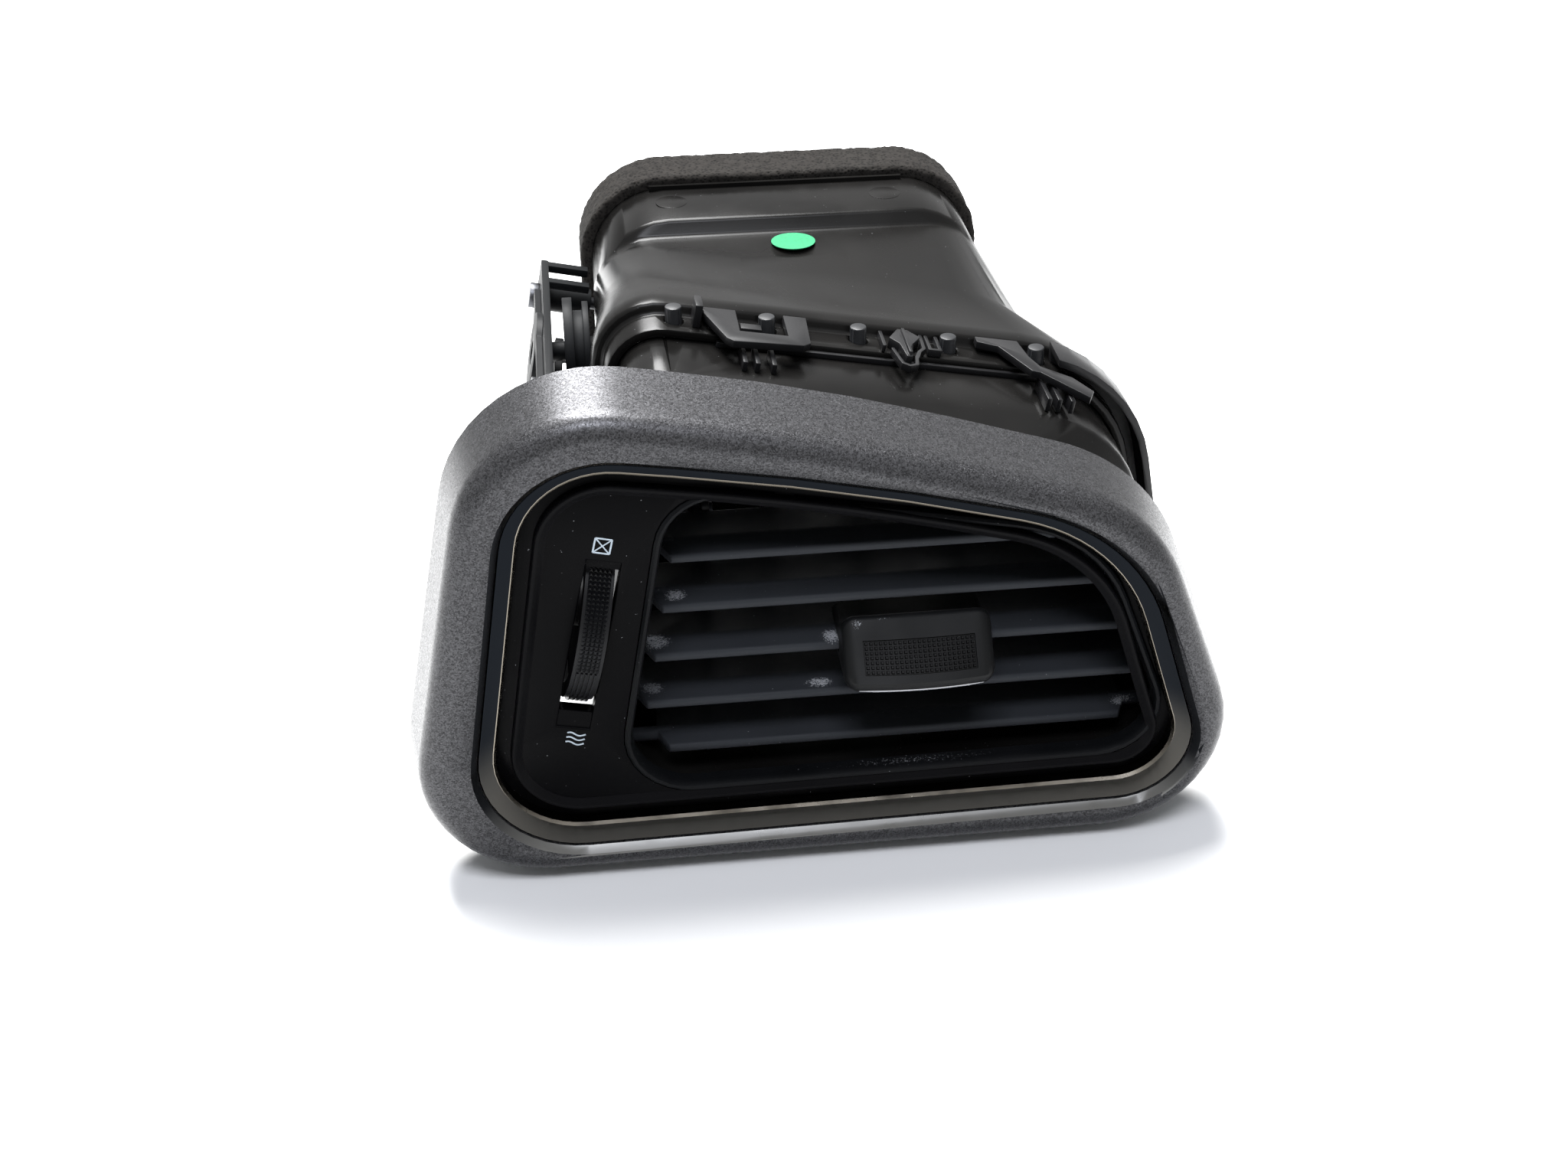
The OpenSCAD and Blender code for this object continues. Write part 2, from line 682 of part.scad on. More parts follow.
module grip_trim() {
    color("#c9ccd0") translate([0, 0, slat_mid_z])
        translate([grip_x - grip_w / 2 + trim_inset, slat_front_y - grip_out + 2.6, -grip_down - 0.55])
            cube([grip_w - 2 * trim_inset, 1.2, 0.5]);
}

// Tongue behind the grip, forked round the middle vane's drive pin
module grip_slider() {
    prong_x = drive_pin_r + fork_gap;
    half = prong_x + prong_w;
    color("#2a2c2e") translate([fork_x, 0, slat_mid_z]) difference() {
        translate([-half, slat_front_y + 3 + fit_gap, tongue_z])
            cube([2 * half, fork_end_y - slat_front_y - 3 - fit_gap, tongue_t]);
        translate([-prong_x, fork_root_y, tongue_z - 1]) cube([2 * prong_x, 20, tongue_t + 2]);
    }
}

// One upright vane with its pivot, a notch for the link and, on the middle one, a window for the fork
module vane(k) {
    x = vane_x(k);
    z0 = vane_foot(k);
    z1 = vane_top(k);
    t = vane_t / 2;
    middle = (vane_count + 1) / 2;
    notch_up = 1.7;
    notch_back = vane_pivot_y - vane_link_reach + 4;
    color("#1f2022") {
        difference() {
            translate([x, 0, z0]) linear_extrude(z1 - z0) polygon([
                [-0.45, vane_front_y], [0.45, vane_front_y], [t, vane_pivot_y - 4], [t, vane_pivot_y + 1],
                [0.4, vane_pivot_y + vane_tail], [-0.4, vane_pivot_y + vane_tail], [-t, vane_pivot_y + 1],
                [-t, vane_pivot_y - 4]
            ]);
            translate([x - 5, vane_front_y - 1, vane_link_z - notch_up])
                cube([10, notch_back - vane_front_y + 1, 2 * notch_up]);
            if (k == middle)
                translate([x - 5, vane_front_y - 1, slat_mid_z - fork_window_down])
                    cube([10, vane_lead - 11 + 1, fork_window_down + fork_window_up]);
        }
        rod_z(vane_link_z - notch_up - 1, vane_link_z + notch_up + 1, x, vane_pivot_y - vane_link_reach, link_pin_r);
        if (k == middle)
            rod_z(slat_mid_z - fork_window_down - 1, slat_mid_z + fork_window_up + 1, x, drive_y, drive_pin_r);
        rod_z(housing_foot(x), collar_top(x) + stud_up, x, vane_pivot_y, vane_pin_r);
    }
}

module vane_link() {
    y = vane_pivot_y - vane_link_reach;
    r = link_pin_r + 1.2;
    t = 2;
    color("#26282a") translate([0, 0, vane_link_z - t / 2]) linear_extrude(t) difference() {
        union() {
            translate([vane_x(1), y - r * 0.8]) square([vane_x(vane_count) - vane_x(1), r * 1.6]);
            for (k = [1:vane_count]) translate([vane_x(k), y]) circle(r);
        }
        for (k = [1:vane_count]) translate([vane_x(k), y]) circle(link_pin_r + run_gap);
    }
}

// Thumbwheel: toothed rim, thin web and hub, with the rod's pin on its left
module thumbwheel() {
    tooth = 0.5;
    w = wheel_w / 2;
    color("#1d1e20") leaning() difference() {
        union() {
            along_x(-w, w) polygon([
                for (i = [0:2 * wheel_teeth - 1])
                    let (a = 180 * i / wheel_teeth, r = wheel_r - (i % 2) * tooth) [r * cos(a), r * sin(a)]
            ]);
            rod_x(-w - 3.8, -w + 1, crank_r * cos(crank_angle), crank_r * sin(crank_angle), crank_pin_r);
        }
        for (side = [-1, 1]) along_x(side > 0 ? 1.2 : -w - 0.1, side > 0 ? w + 0.1 : -1.2) difference() {
            circle(wheel_r - 3.5);
            circle(axle_r + 2.5);
            translate([crank_r * cos(crank_angle), crank_r * sin(crank_angle)]) circle(crank_pin_r + 1.2);
        }
        rod_x(-20, 20, 0, 0, axle_r + run_gap);
    }
}

// Rear pin of the rod, in the leaning frame of the thumbwheel
function rod_end() = [
    drum_y + crank_r * cos(crank_angle) - wheel_y,
    (rod_u + rod_t / 2) * tan(wheel_lean)
        + (drum_z + crank_r * sin(crank_angle) - wheel_z) / cos(wheel_lean)
];

module link_rod() {
    a = [crank_r * cos(crank_angle), crank_r * sin(crank_angle)];
    b = rod_end();
    run = b - a;
    bar = 4;
    color("#2a2c2e") leaning() along_x(rod_u, rod_u + rod_t) difference() {
        union() {
            translate(a) rotate(atan2(run[1], run[0])) translate([0, -bar / 2]) square([norm(run), bar]);
            translate(a) circle(eye_r);
            translate(b) circle(eye_r);
        }
        translate(a) circle(crank_pin_r + run_gap);
        translate(b) circle(crank_pin_r + 0.55);
    }
}

// Stepped drum that turns the damper, with the rod's pin on its left
module damper_drum() {
    color("#17181a") {
        rod_x(drum_left_x, drum_left_x + 2.2, drum_y, drum_z, drum_r);
        rod_x(drum_left_x + 2.2 - eps, drum_left_x + 4.4, drum_y, drum_z, drum_r - 3);
        rod_x(drum_left_x + 4.4 - eps, drum_right_x, drum_y, drum_z, drum_r - 1);
        rod_x(drum_left_x - stub_l, drum_left_x + 1, drum_y, drum_z, stub_r);
        rod_x(drum_left_x - 3.2, drum_left_x + 1, drum_y + crank_r * cos(crank_angle),
            drum_z + crank_r * sin(crank_angle), crank_pin_r);
        rod_x(drum_right_x - 1, neck_left + wall + 6, drum_y, drum_z, damper_pin_r);
    }
}

// Damper blade in its open position, along the air, with corners that follow the duct's
module damper_blade(shrink, thick) {
    corners = [
        [flap_left, drum_y - flap_up, flap_r, 6], [flap_right + 3, drum_y - flap_up + 3, flap_r, 6],
        [flap_right, drum_y + flap_down, flap_r, 6], [flap_left, drum_y + flap_down, flap_r, 6]
    ];
    translate([0, 0, drum_z - thick / 2]) linear_extrude(thick) polygon(outline(corners, -shrink));
}

module damper_flap() {
    color("#232527") difference() {
        union() {
            damper_blade(foam_edge, flap_t);
            rod_x(flap_left + foam_edge, flap_right - foam_edge, drum_y, drum_z, damper_pin_r + 1.4);
        }
        rod_x(flap_left - 1, flap_left + 9, drum_y, drum_z, damper_pin_r + fit_gap);
    }
}

// Foam edge round the damper's blade, open where the shaft passes
module damper_foam() {
    color("#45403c") difference() {
        damper_blade(0, 3.4);
        damper_blade(foam_edge - 0.05, 10);
        translate([flap_left - 1, drum_y - 6, drum_z - 5]) cube([flap_right - flap_left + 10, 12, 10]);
    }
}

// Plate beside the duct that covers the rod and carries the wheel and the drum
module side_plate() {
    front_y = panel_back_y - wheel_y;
    back_y = step_depth + 12 - wheel_y;
    top = 25.2;
    arm_y = [step_depth - wheel_y, step_depth + 9 - wheel_y];
    drum_v = plate_u * tan(wheel_lean) + (drum_z - wheel_z) / cos(wheel_lean);
    color("#202123") difference() {
        union() {
            leaning() {
                along_x(plate_u, plate_u + plate_t) polygon([
                    [front_y, -9], [14, -11], [40, -2], [back_y - 12, 8], [back_y, 12], [back_y, top], [26, top],
                    [front_y, 9]
                ]);
                rod_x(plate_u + plate_t - eps, wheel_w / 2 + run_gap + axle_head_t, 0, 0, axle_r);
                rod_x(wheel_w / 2 + run_gap, wheel_w / 2 + run_gap + axle_head_t, 0, 0, axle_head_r);
                for (y = arm_y) translate([plate_u + plate_t - eps, y, top - 1.8]) cube([arm_l, 2.4, 1.8]);
                rod_x(plate_u - boss_t, plate_u + eps, drum_y - wheel_y, drum_v, boss_r);
                translate([plate_u - boss_t, 26, top - 5]) cube([boss_t + eps, back_y - 36, 1.8]);
            }
            for (i = [0, 1]) place_post(i) rod_x(plate_u + plate_t - eps, post_end_u[i], 0, 0, post_r);
        }
        rod_x(drum_left_x - 10, drum_left_x, drum_y, drum_z, stub_r + 0.45);
        for (i = [0, 1]) place_post(i) rod_x(plate_u - 1, post_end_u[i] + 1, 0, 0, screw_r + 0.2);
    }
}

module screw(i) {
    color("#9a9da0") place_post(i) {
        rod_x(plate_u - eps, plate_u + screw_l, 0, 0, screw_r);
        rod_x(plate_u - screw_head_t, plate_u, 0, 0, screw_head_r);
    }
}

module screw_front() { screw(0); }
module screw_rear() { screw(1); }

bezel();
trim_ring();
fascia();
outlet_frame();
front_housing();
rear_duct();
foam_seal();
rim_clips();
housing_ribs();
rim_fin();
side_plate();
screw_front();
screw_rear();
slat(1);  // slat_1
slat(2);  // slat_2
slat(3);  // slat_3
slat(4);  // slat_4
slat(5);  // slat_5
slat_link();
grip();
grip_pad();
grip_trim();
grip_slider();
vane(1);  // vane_1
vane(2);  // vane_2
vane(3);  // vane_3
vane(4);  // vane_4
vane(5);  // vane_5
vane_link();
thumbwheel();
link_rod();
damper_drum();
damper_flap();
damper_foam();
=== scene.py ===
"""Dashboard air vent: finishes, moulded detail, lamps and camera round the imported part."""

from __future__ import annotations

import json
import logging
import math
from dataclasses import dataclass, field
from enum import Enum

import bmesh
import bpy
from mathutils import Matrix, Vector, noise

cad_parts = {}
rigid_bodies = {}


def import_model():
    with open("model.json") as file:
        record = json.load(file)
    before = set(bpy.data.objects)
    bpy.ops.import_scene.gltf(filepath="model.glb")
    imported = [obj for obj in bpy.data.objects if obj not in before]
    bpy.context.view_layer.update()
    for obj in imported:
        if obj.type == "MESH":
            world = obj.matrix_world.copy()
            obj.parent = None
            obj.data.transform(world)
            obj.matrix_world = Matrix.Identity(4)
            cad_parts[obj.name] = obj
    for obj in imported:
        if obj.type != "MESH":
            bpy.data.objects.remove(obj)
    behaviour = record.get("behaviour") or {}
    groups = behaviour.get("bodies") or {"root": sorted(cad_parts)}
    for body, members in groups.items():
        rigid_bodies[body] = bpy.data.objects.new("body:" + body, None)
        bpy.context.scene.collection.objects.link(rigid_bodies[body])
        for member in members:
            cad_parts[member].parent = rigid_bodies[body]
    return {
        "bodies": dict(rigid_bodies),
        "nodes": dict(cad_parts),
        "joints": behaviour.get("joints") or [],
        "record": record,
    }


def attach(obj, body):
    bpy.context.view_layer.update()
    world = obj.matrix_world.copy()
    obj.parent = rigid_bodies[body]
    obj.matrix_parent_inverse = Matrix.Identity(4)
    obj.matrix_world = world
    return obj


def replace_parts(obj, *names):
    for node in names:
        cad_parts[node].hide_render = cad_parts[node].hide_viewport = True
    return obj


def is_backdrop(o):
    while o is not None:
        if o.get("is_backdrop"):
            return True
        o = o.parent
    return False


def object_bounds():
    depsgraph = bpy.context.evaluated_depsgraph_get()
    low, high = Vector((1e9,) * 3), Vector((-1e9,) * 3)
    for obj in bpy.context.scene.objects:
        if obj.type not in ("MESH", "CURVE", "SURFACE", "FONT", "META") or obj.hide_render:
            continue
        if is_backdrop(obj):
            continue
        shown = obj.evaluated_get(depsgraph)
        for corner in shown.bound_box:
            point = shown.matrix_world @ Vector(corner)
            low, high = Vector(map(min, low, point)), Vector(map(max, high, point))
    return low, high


LOG = logging.getLogger("vent")
MM = 0.001

Point = tuple[float, float, float]
Flat = tuple[float, float]
Corner = tuple[float, float, float, int]
Tree = bpy.types.NodeTree
Socket = bpy.types.NodeSocket
Material = bpy.types.Material
Thing = bpy.types.Object
Shape = bmesh.types.BMesh

# The ring's outline, the depths and the sizes repeat the part's own source, in millimetres.
RING_CORNERS: tuple[Corner, ...] = (
    (-89.7, -43.8, 20.7, 20),
    (66.5, -42.3, 15, 16),
    (44.2, 23.5, 43, 20),
    (-11.1, 39.3, 530, 6),
    (-74.6, 48.9, 20.6, 20),
)
NECK_CORNERS: tuple[Corner, ...] = (
    (-55.5, -9.8, 18, 24),
    (37.0, -9.8, 18, 24),
    (37.0, 43.7, 18, 24),
    (-55.5, 43.7, 18, 24),
)
RING_W = 3.5
GROOVE_W = 3.0
PANEL_Y = -10.8
CHAMFER_BACK_Y = -15.2
NECK_END_Y = 132.0
FOAM_L = 13.0
FOAM_T = 2.8
DUCT_TOP_Z = 40.0
NECK_TOP_Z = 43.7

# Looks that several finishes share.
UNIT = (0.0, 1.0)
NOISE_SPAN = (0.3, 0.7)
DUST_ROUGHNESS = 0.9
SPECK_MM = 0.55
SPECK_CUT = (0.79, 0.83)
PATCH_CORE = 0.15
PATCH_WEIGHT = 0.5
PATCH_CUT = (0.9, 1.0)

SMOOTH_DEGREES = 32.0
FLAT_DEGREES = 0.3
MERGE_M = 1e-6
SKIN_MERGE_M = 1e-7


def corner_arc(before: Corner, corner: Corner, after: Corner, grow: float) -> list[Flat]:
    """Gives the points of one rounded corner.

    Args:
        before: The corner before it.
        corner: x, z, radius and steps of this corner.
        after: The corner after it.
        grow: How far the outline is moved outward, in millimetres.

    Returns:
        Points in x and z.
    """
    here = Vector(corner[:2])
    to_a = (Vector(before[:2]) - here).normalized()
    to_b = (Vector(after[:2]) - here).normalized()
    half = math.acos(to_a.dot(to_b)) / 2
    centre = here + (to_a + to_b).normalized() * corner[2] / math.sin(half)
    start = here + to_a * corner[2] / math.tan(half) - centre
    turn, first = math.pi - 2 * half, math.atan2(start.y, start.x)
    steps = corner[3]
    angles = [first + turn * i / steps for i in range(steps + 1)]
    return [tuple(centre + Vector((math.cos(a), math.sin(a))) * (corner[2] + grow)) for a in angles]


def outline(corners: tuple[Corner, ...], grow: float = 0.0) -> list[Flat]:
    """Gives a closed outline with rounded corners, moved outward by grow millimetres."""
    points = []
    for i, corner in enumerate(corners):
        points += corner_arc(corners[i - 1], corner, corners[(i + 1) % len(corners)], grow)
    return points


def resampled(points: list[Flat], step: float) -> list[Flat]:
    """Spreads points evenly round a closed outline, about step millimetres apart."""
    ends = [Vector(p) for p in points]
    runs = [(ends[(i + 1) % len(ends)] - ends[i]).length for i in range(len(ends))]
    total = sum(runs)
    count = round(total / step)
    even, i, passed = [], 0, 0.0
    for k in range(count):
        goal = total * k / count
        while passed + runs[i] < goal:
            passed += runs[i]
            i += 1
        part = (goal - passed) / runs[i] if runs[i] > 0 else 0.0
        even.append(tuple(ends[i].lerp(ends[(i + 1) % len(ends)], part)))
    return even


def skin(loops: list[list[Point]], ring: bool = True) -> Shape:
    """Joins closed loops of points, in millimetres, to one closed skin.

    Args:
        loops: The loops, each with the same number of points.
        ring: Whether the last loop is joined to the first. Otherwise both ends are capped.

    Returns:
        The mesh, in metres.
    """
    shape = bmesh.new()
    rows = [[shape.verts.new(Vector(p) * MM) for p in loop] for loop in loops]
    for i in range(len(rows) if ring else len(rows) - 1):
        a, b = rows[i], rows[(i + 1) % len(rows)]
        for j in range(len(a)):
            k = (j + 1) % len(a)
            shape.faces.new((a[j], a[k], b[k], b[j]))
    if not ring:
        shape.faces.new(rows[0])
        shape.faces.new(rows[-1])
    bmesh.ops.remove_doubles(shape, verts=shape.verts, dist=SKIN_MERGE_M)
    bmesh.ops.recalc_face_normals(shape, faces=shape.faces)
    return shape


def prism(points: list[Flat], low: float, high: float, place: Matrix) -> Shape:
    """Raises a flat outline between two heights and places it, all in millimetres."""
    loops = [[tuple(place @ Vector((x, y, level))) for x, y in points] for level in (low, high)]
    return skin(loops, ring=False)


def ribbon(points: list[Flat], width: float) -> list[Flat]:
    """Gives the outline of a flat ribbon of a width along a line of points."""
    path = [Vector(p) for p in points]
    left, right = [], []
    for i, here in enumerate(path):
        run = (path[min(i + 1, len(path) - 1)] - path[max(i - 1, 0)]).normalized()
        side = Vector((-run.y, run.x)) * width / 2
        left.append(tuple(here + side))
        right.append(tuple(here - side))
    return left + right[::-1]


def stood(name: str, data: bpy.types.ID) -> Thing:
    """Puts an object with some data in the scene."""
    thing = bpy.data.objects.new(name, data)
    bpy.context.scene.collection.objects.link(thing)
    return thing


def joined(shapes: list[Shape]) -> Shape:
    """Puts several meshes in one and frees them."""
    whole = bmesh.new()
    for shape in shapes:
        mesh = bpy.data.meshes.new("part")
        shape.to_mesh(mesh)
        shape.free()
        whole.from_mesh(mesh)
        bpy.data.meshes.remove(mesh)
    return whole


def ellipse(x: float, y: float, half_x: float, half_y: float, count: int) -> list[Flat]:
    """Gives count points round an ellipse."""
    angles = [math.tau * i / count for i in range(count)]
    return [(x + half_x * math.cos(a), y + half_y * math.sin(a)) for a in angles]


def spread(first: float, last: float, steps: int) -> list[float]:
    """Gives evenly spread numbers, both ends included."""
    return [first + (last - first) * i / steps for i in range(steps + 1)]


def on_circle(centre: Flat, radius: float, degrees: float) -> Vector:
    """Gives the point of a circle at an angle."""
    a = math.radians(degrees)
    return Vector((centre[0] + radius * math.cos(a), centre[1] + radius * math.sin(a)))


def arc(centre: Flat, radius: float, span: Flat, steps: int) -> list[Vector]:
    """Gives points along an arc.

    Args:
        centre: The arc's centre.
        radius: Its radius.
        span: The angles where it starts and ends, in degrees.
        steps: How many chords it has.

    Returns:
        The points, both ends included.
    """
    return [on_circle(centre, radius, degrees) for degrees in spread(*span, steps)]


def linear(hex_colour: str) -> tuple[float, float, float, float]:
    """Turns an sRGB hex colour to linear RGBA.

    Args:
        hex_colour: The colour as #rrggbb.

    Returns:
        Four linear numbers, alpha last.
    """
    channels = [int(hex_colour[i : i + 2], 16) / 255 for i in (1, 3, 5)]
    return (*(c / 12.92 if c <= 0.04045 else ((c + 0.055) / 1.055) ** 2.4 for c in channels), 1.0)


def add_node(tree: Tree, kind: str, inputs: dict | None = None, **settings) -> bpy.types.Node:
    """Adds a node with its settings, values and links.

    Args:
        tree: The material's node tree.
        kind: The node's type name.
        inputs: Values or sockets by input name or number.
        **settings: The node's own properties.

    Returns:
        The new node.
    """
    node = tree.nodes.new(kind)
    for key, value in settings.items():
        setattr(node, key, value)
    for key, value in (inputs or {}).items():
        if isinstance(value, Socket):
            tree.links.new(value, node.inputs[key])
        else:
            node.inputs[key].default_value = value
    return node


@dataclass
class Graph:
    """A material's node tree, with the nodes that several finishes use."""

    tree: Tree
    place: Socket

    def node(self, kind: str, inputs: dict, output: str | int = 0, **settings) -> Socket:
        """Adds a shader node and gives one of its outputs."""
        return add_node(self.tree, "ShaderNode" + kind, inputs, **settings).outputs[output]

    def sized(self, size_mm: float) -> dict:
        """Gives the inputs of a texture with features of a size."""
        return {"Vector": self.place, "Scale": 1 / (size_mm * MM)}

    def noise(self, size_mm: float, detail: float, rough: float = 0.5) -> Socket:
        """Gives a noise, about 0.5 on average, with finer layers as rough as said."""
        inputs = self.sized(size_mm) | {"Detail": detail, "Roughness": rough}
        return self.node("TexNoise", inputs, "Fac")

    def cells(self, size_mm: float, output: str) -> Socket:
        """Gives an output of cells of a size."""
        return self.node("TexVoronoi", self.sized(size_mm), output)

    def span(self, value: Socket, source: Flat, target: Flat, smooth: bool = False) -> Socket:
        """Maps a value from one range to another and clamps it, with eased ends where smooth."""
        inputs = {"Value": value, "From Min": source[0], "From Max": source[1]}
        inputs.update({"To Min": target[0], "To Max": target[1]})
        kind = "SMOOTHSTEP" if smooth else "LINEAR"
        return self.node("MapRange", inputs, "Result", interpolation_type=kind)

    def join(self, operation: str, first: Socket, second: Socket | float) -> Socket:
        """Joins two numbers by an operation of the Math node."""
        return self.node("Math", {0: first, 1: second}, operation=operation)

    def blend(self, share: Socket, low: Socket | str, high: Socket | str) -> Socket:
        """Blends two colours by a share. A colour is a socket or an sRGB hex text."""
        low, high = (linear(c) if isinstance(c, str) else c for c in (low, high))
        return self.node("Mix", {0: share, 6: low, 7: high}, 2, data_type="RGBA")

    def bump(self, height: Socket, distance_mm: float, strength: float = 1.0) -> Socket:
        """Turns a height between 0 and 1 to a bent normal."""
        inputs = {"Strength": strength, "Distance": distance_mm * MM, "Height": height}
        return self.node("Bump", inputs, "Normal")


@dataclass(frozen=True)
class Patch:
    """A patch of dust or a scuff: an ellipsoid in the part's frame, in millimetres."""

    centre: Point
    radii: Point
    strength: float
    crumb_mm: float
    crumb_detail: float = 6.0
    crumb_rough: float = 0.75

    def mask(self, graph: Graph) -> Socket:
        """Gives the patch's strength in dense dust and 0 outside the patch."""
        vector = graph.place
        for operation, values in (("SUBTRACT", self.centre), ("DIVIDE", self.radii)):
            inputs = {0: vector, 1: [v * MM for v in values]}
            vector = graph.node("VectorMath", inputs, operation=operation)
        reach = graph.node("VectorMath", {0: vector}, "Value", operation="LENGTH")
        fall = graph.span(reach, (PATCH_CORE, 1.0), (PATCH_WEIGHT, 0.0), smooth=True)
        crumbs = graph.noise(self.crumb_mm, self.crumb_detail, self.crumb_rough)
        return graph.span(graph.join("ADD", crumbs, fall), PATCH_CUT, (0.0, self.strength))


@dataclass(frozen=True)
class Finish:
    """A material by its name. Each kind of finish says what its shader is fed with."""

    name: str

    def feed(self, graph: Graph) -> dict:
        """Gives the shader's inputs, which are values or sockets."""
        raise NotImplementedError(self.name)

    def build(self) -> Material:
        """Makes the material."""
        material = bpy.data.materials.new(self.name)
        material.use_nodes = True
        tree = material.node_tree
        tree.nodes.clear()
        place = add_node(tree, "ShaderNodeTexCoord").outputs["Object"]
        shader = add_node(tree, "ShaderNodeBsdfPrincipled", self.feed(Graph(tree, place)))
        add_node(tree, "ShaderNodeOutputMaterial", {"Surface": shader.outputs["BSDF"]})
        return material


@dataclass(frozen=True)
class MouldedPlastic(Finish):
    """Injection-moulded plastic.

    Slow clouds shift its black and its gloss a little, and a fine grain breaks up its highlights.
    Dust patches and single specks lie on it as pale, matt crumbs.
    """

    colour: str
    cloud_colour: str
    cloud_mm: float = 18.0
    roughness: float = 0.42
    roughness_spread: float = 0.10
    grain_mm: float = 0.45
    grain_height_mm: float = 0.012
    specular: float = 0.2
    dust_colour: str = "#a3a5a8"
    patches: tuple[Patch, ...] = ()
    specks: float = 0.0

    def feed(self, graph: Graph) -> dict:
        """Gives the shader's inputs."""
        cloud = graph.noise(self.cloud_mm, 3.0)
        colour = graph.blend(cloud, self.colour, self.cloud_colour)
        gloss = (self.roughness - self.roughness_spread, self.roughness + self.roughness_spread)
        rough = graph.span(cloud, NOISE_SPAN, gloss)
        dust = self._dust(graph)
        if dust is not None:
            colour = graph.blend(dust, colour, self.dust_colour)
            inputs = {0: dust, 2: rough, 3: DUST_ROUGHNESS}
            rough = graph.node("Mix", inputs, data_type="FLOAT")
        grain = graph.bump(graph.noise(self.grain_mm, 2.0), self.grain_height_mm)
        fed = {"Base Color": colour, "Roughness": rough, "Normal": grain}
        return fed | {"Specular IOR Level": self.specular, "IOR": 1.5}

    def _dust(self, graph: Graph) -> Socket | None:
        """Joins the patches and the specks to one mask, or gives None where there is neither."""
        masks = [patch.mask(graph) for patch in self.patches]
        if self.specks > 0:
            masks.append(graph.span(graph.noise(SPECK_MM, 1.0), SPECK_CUT, (0.0, self.specks)))
        whole = masks[0] if masks else None
        for mask in masks[1:]:
            whole = graph.join("MAXIMUM", whole, mask)
        return whole


@dataclass(frozen=True)
class FlakePaint(Finish):
    """Satin metallic paint.

    Each aluminium flake has its own grey, gloss and tilt, which gives the sparkle. The share of
    metal gives the wide sheen, and the lacquer over it stays nearly free of gloss.
    """

    name: str = "satin_flake_paint"
    dark: str = "#252526"
    light: str = "#525254"
    flake_mm: float = 0.25
    flake_share: float = 0.75
    flake_tilt_mm: float = 0.03
    tilt_strength: float = 0.55
    cloud_mm: float = 1.1
    cloud_share: float = 0.08
    gloss: Flat = (0.26, 0.43)
    metal: float = 0.68
    specular: float = 0.08

    def feed(self, graph: Graph) -> dict:
        """Gives the shader's inputs."""
        flake = graph.cells(self.flake_mm, "Color")
        grey, gloss, tilt = add_node(graph.tree, "ShaderNodeSeparateColor", {0: flake}).outputs
        cloud = graph.join("MULTIPLY", graph.noise(self.cloud_mm, 2.0), self.cloud_share)
        shade = graph.join("ADD", graph.span(grey, UNIT, (0.0, self.flake_share)), cloud)
        return {
            "Base Color": graph.blend(shade, self.dark, self.light),
            "Roughness": graph.span(gloss, UNIT, self.gloss),
            "Normal": graph.bump(tilt, self.flake_tilt_mm, self.tilt_strength),
            "Metallic": self.metal,
            "Specular IOR Level": self.specular,
        }


@dataclass(frozen=True)
class FilmAndPaintedHighlight(Finish):
    """Metallised film; its colour is painted lighter low down and darker towards the top.

    It mirrors the room, and a slow haze in its gloss keeps the mirror from looking perfect. From
    the lower height up to the upper one, in millimetres, its colour goes from the lighter one, a
    painted reflection, to the darker one, painted shade. Where it covers the bezel's chamfer and
    the ring's bead, its bright colour is a painted highlight.
    """

    name: str = "dark_chrome_shaded_top"
    colour: str = "#4c4a46"
    roughness: float = 0.16
    haze_mm: float = 6.0
    haze: Flat = (-0.04, 0.08)
    shaded_colour: str = "#101215"
    lit_z: float = -43.0
    shaded_z: float = -14.0

    def feed(self, graph: Graph) -> dict:
        """Gives the shader's inputs."""
        height = graph.node("SeparateXYZ", {0: graph.place}, "Z")
        # Painted reflection and shade: lighter low down, darker towards the top.
        painted_shade = graph.span(height, (self.lit_z * MM, self.shaded_z * MM), UNIT, smooth=True)
        gloss = (self.roughness + self.haze[0], self.roughness + self.haze[1])
        return {
            "Base Color": graph.blend(painted_shade, self.colour, self.shaded_colour),
            "Roughness": graph.span(graph.noise(self.haze_mm, 5.0), NOISE_SPAN, gloss),
            "Metallic": 1.0,
        }


@dataclass(frozen=True)
class CellFoam(Finish):
    """Open-cell polyurethane foam: a matt warm grey, pitted with small pores that painted shade
    darkens.
    """

    name: str = "open_cell_foam"
    colour: str = "#211f1d"
    pore_shade_colour: str = "#0a0908"
    pore_mm: float = 0.8
    pore_span: Flat = (0.1, 0.55)
    shade_span: Flat = (0.05, 0.55)
    cloud_mm: float = 2.2
    pit_mm: float = 0.25
    roughness: float = 0.95
    specular: float = 0.15

    def feed(self, graph: Graph) -> dict:
        """Gives the shader's inputs."""
        depth = graph.span(graph.cells(self.pore_mm, "Distance"), self.pore_span, UNIT)
        height = graph.join("MULTIPLY", depth, graph.noise(self.cloud_mm, 5.0))
        # Painted shade: darker in the pores, lighter on the cells' rims.
        shade = graph.span(height, self.shade_span, UNIT)
        return {
            "Base Color": graph.blend(shade, self.pore_shade_colour, self.colour),
            "Normal": graph.bump(height, self.pit_mm),
            "Roughness": self.roughness,
            "Specular IOR Level": self.specular,
        }


@dataclass(frozen=True)
class PrintedInk(Finish):
    """Pad-printed ink: a thin film, a little lighter and darker in small clouds."""

    colour: str
    roughness: float = 0.55
    cloud_mm: float = 0.7
    brightness: Flat = (0.82, 1.05)

    def feed(self, graph: Graph) -> dict:
        """Gives the shader's inputs."""
        value = graph.span(graph.noise(self.cloud_mm, 3.0), NOISE_SPAN, self.brightness)
        inputs = {"Color": linear(self.colour), "Value": value}
        colour = graph.node("HueSaturation", inputs, "Color")
        return {"Base Color": colour, "Roughness": self.roughness}


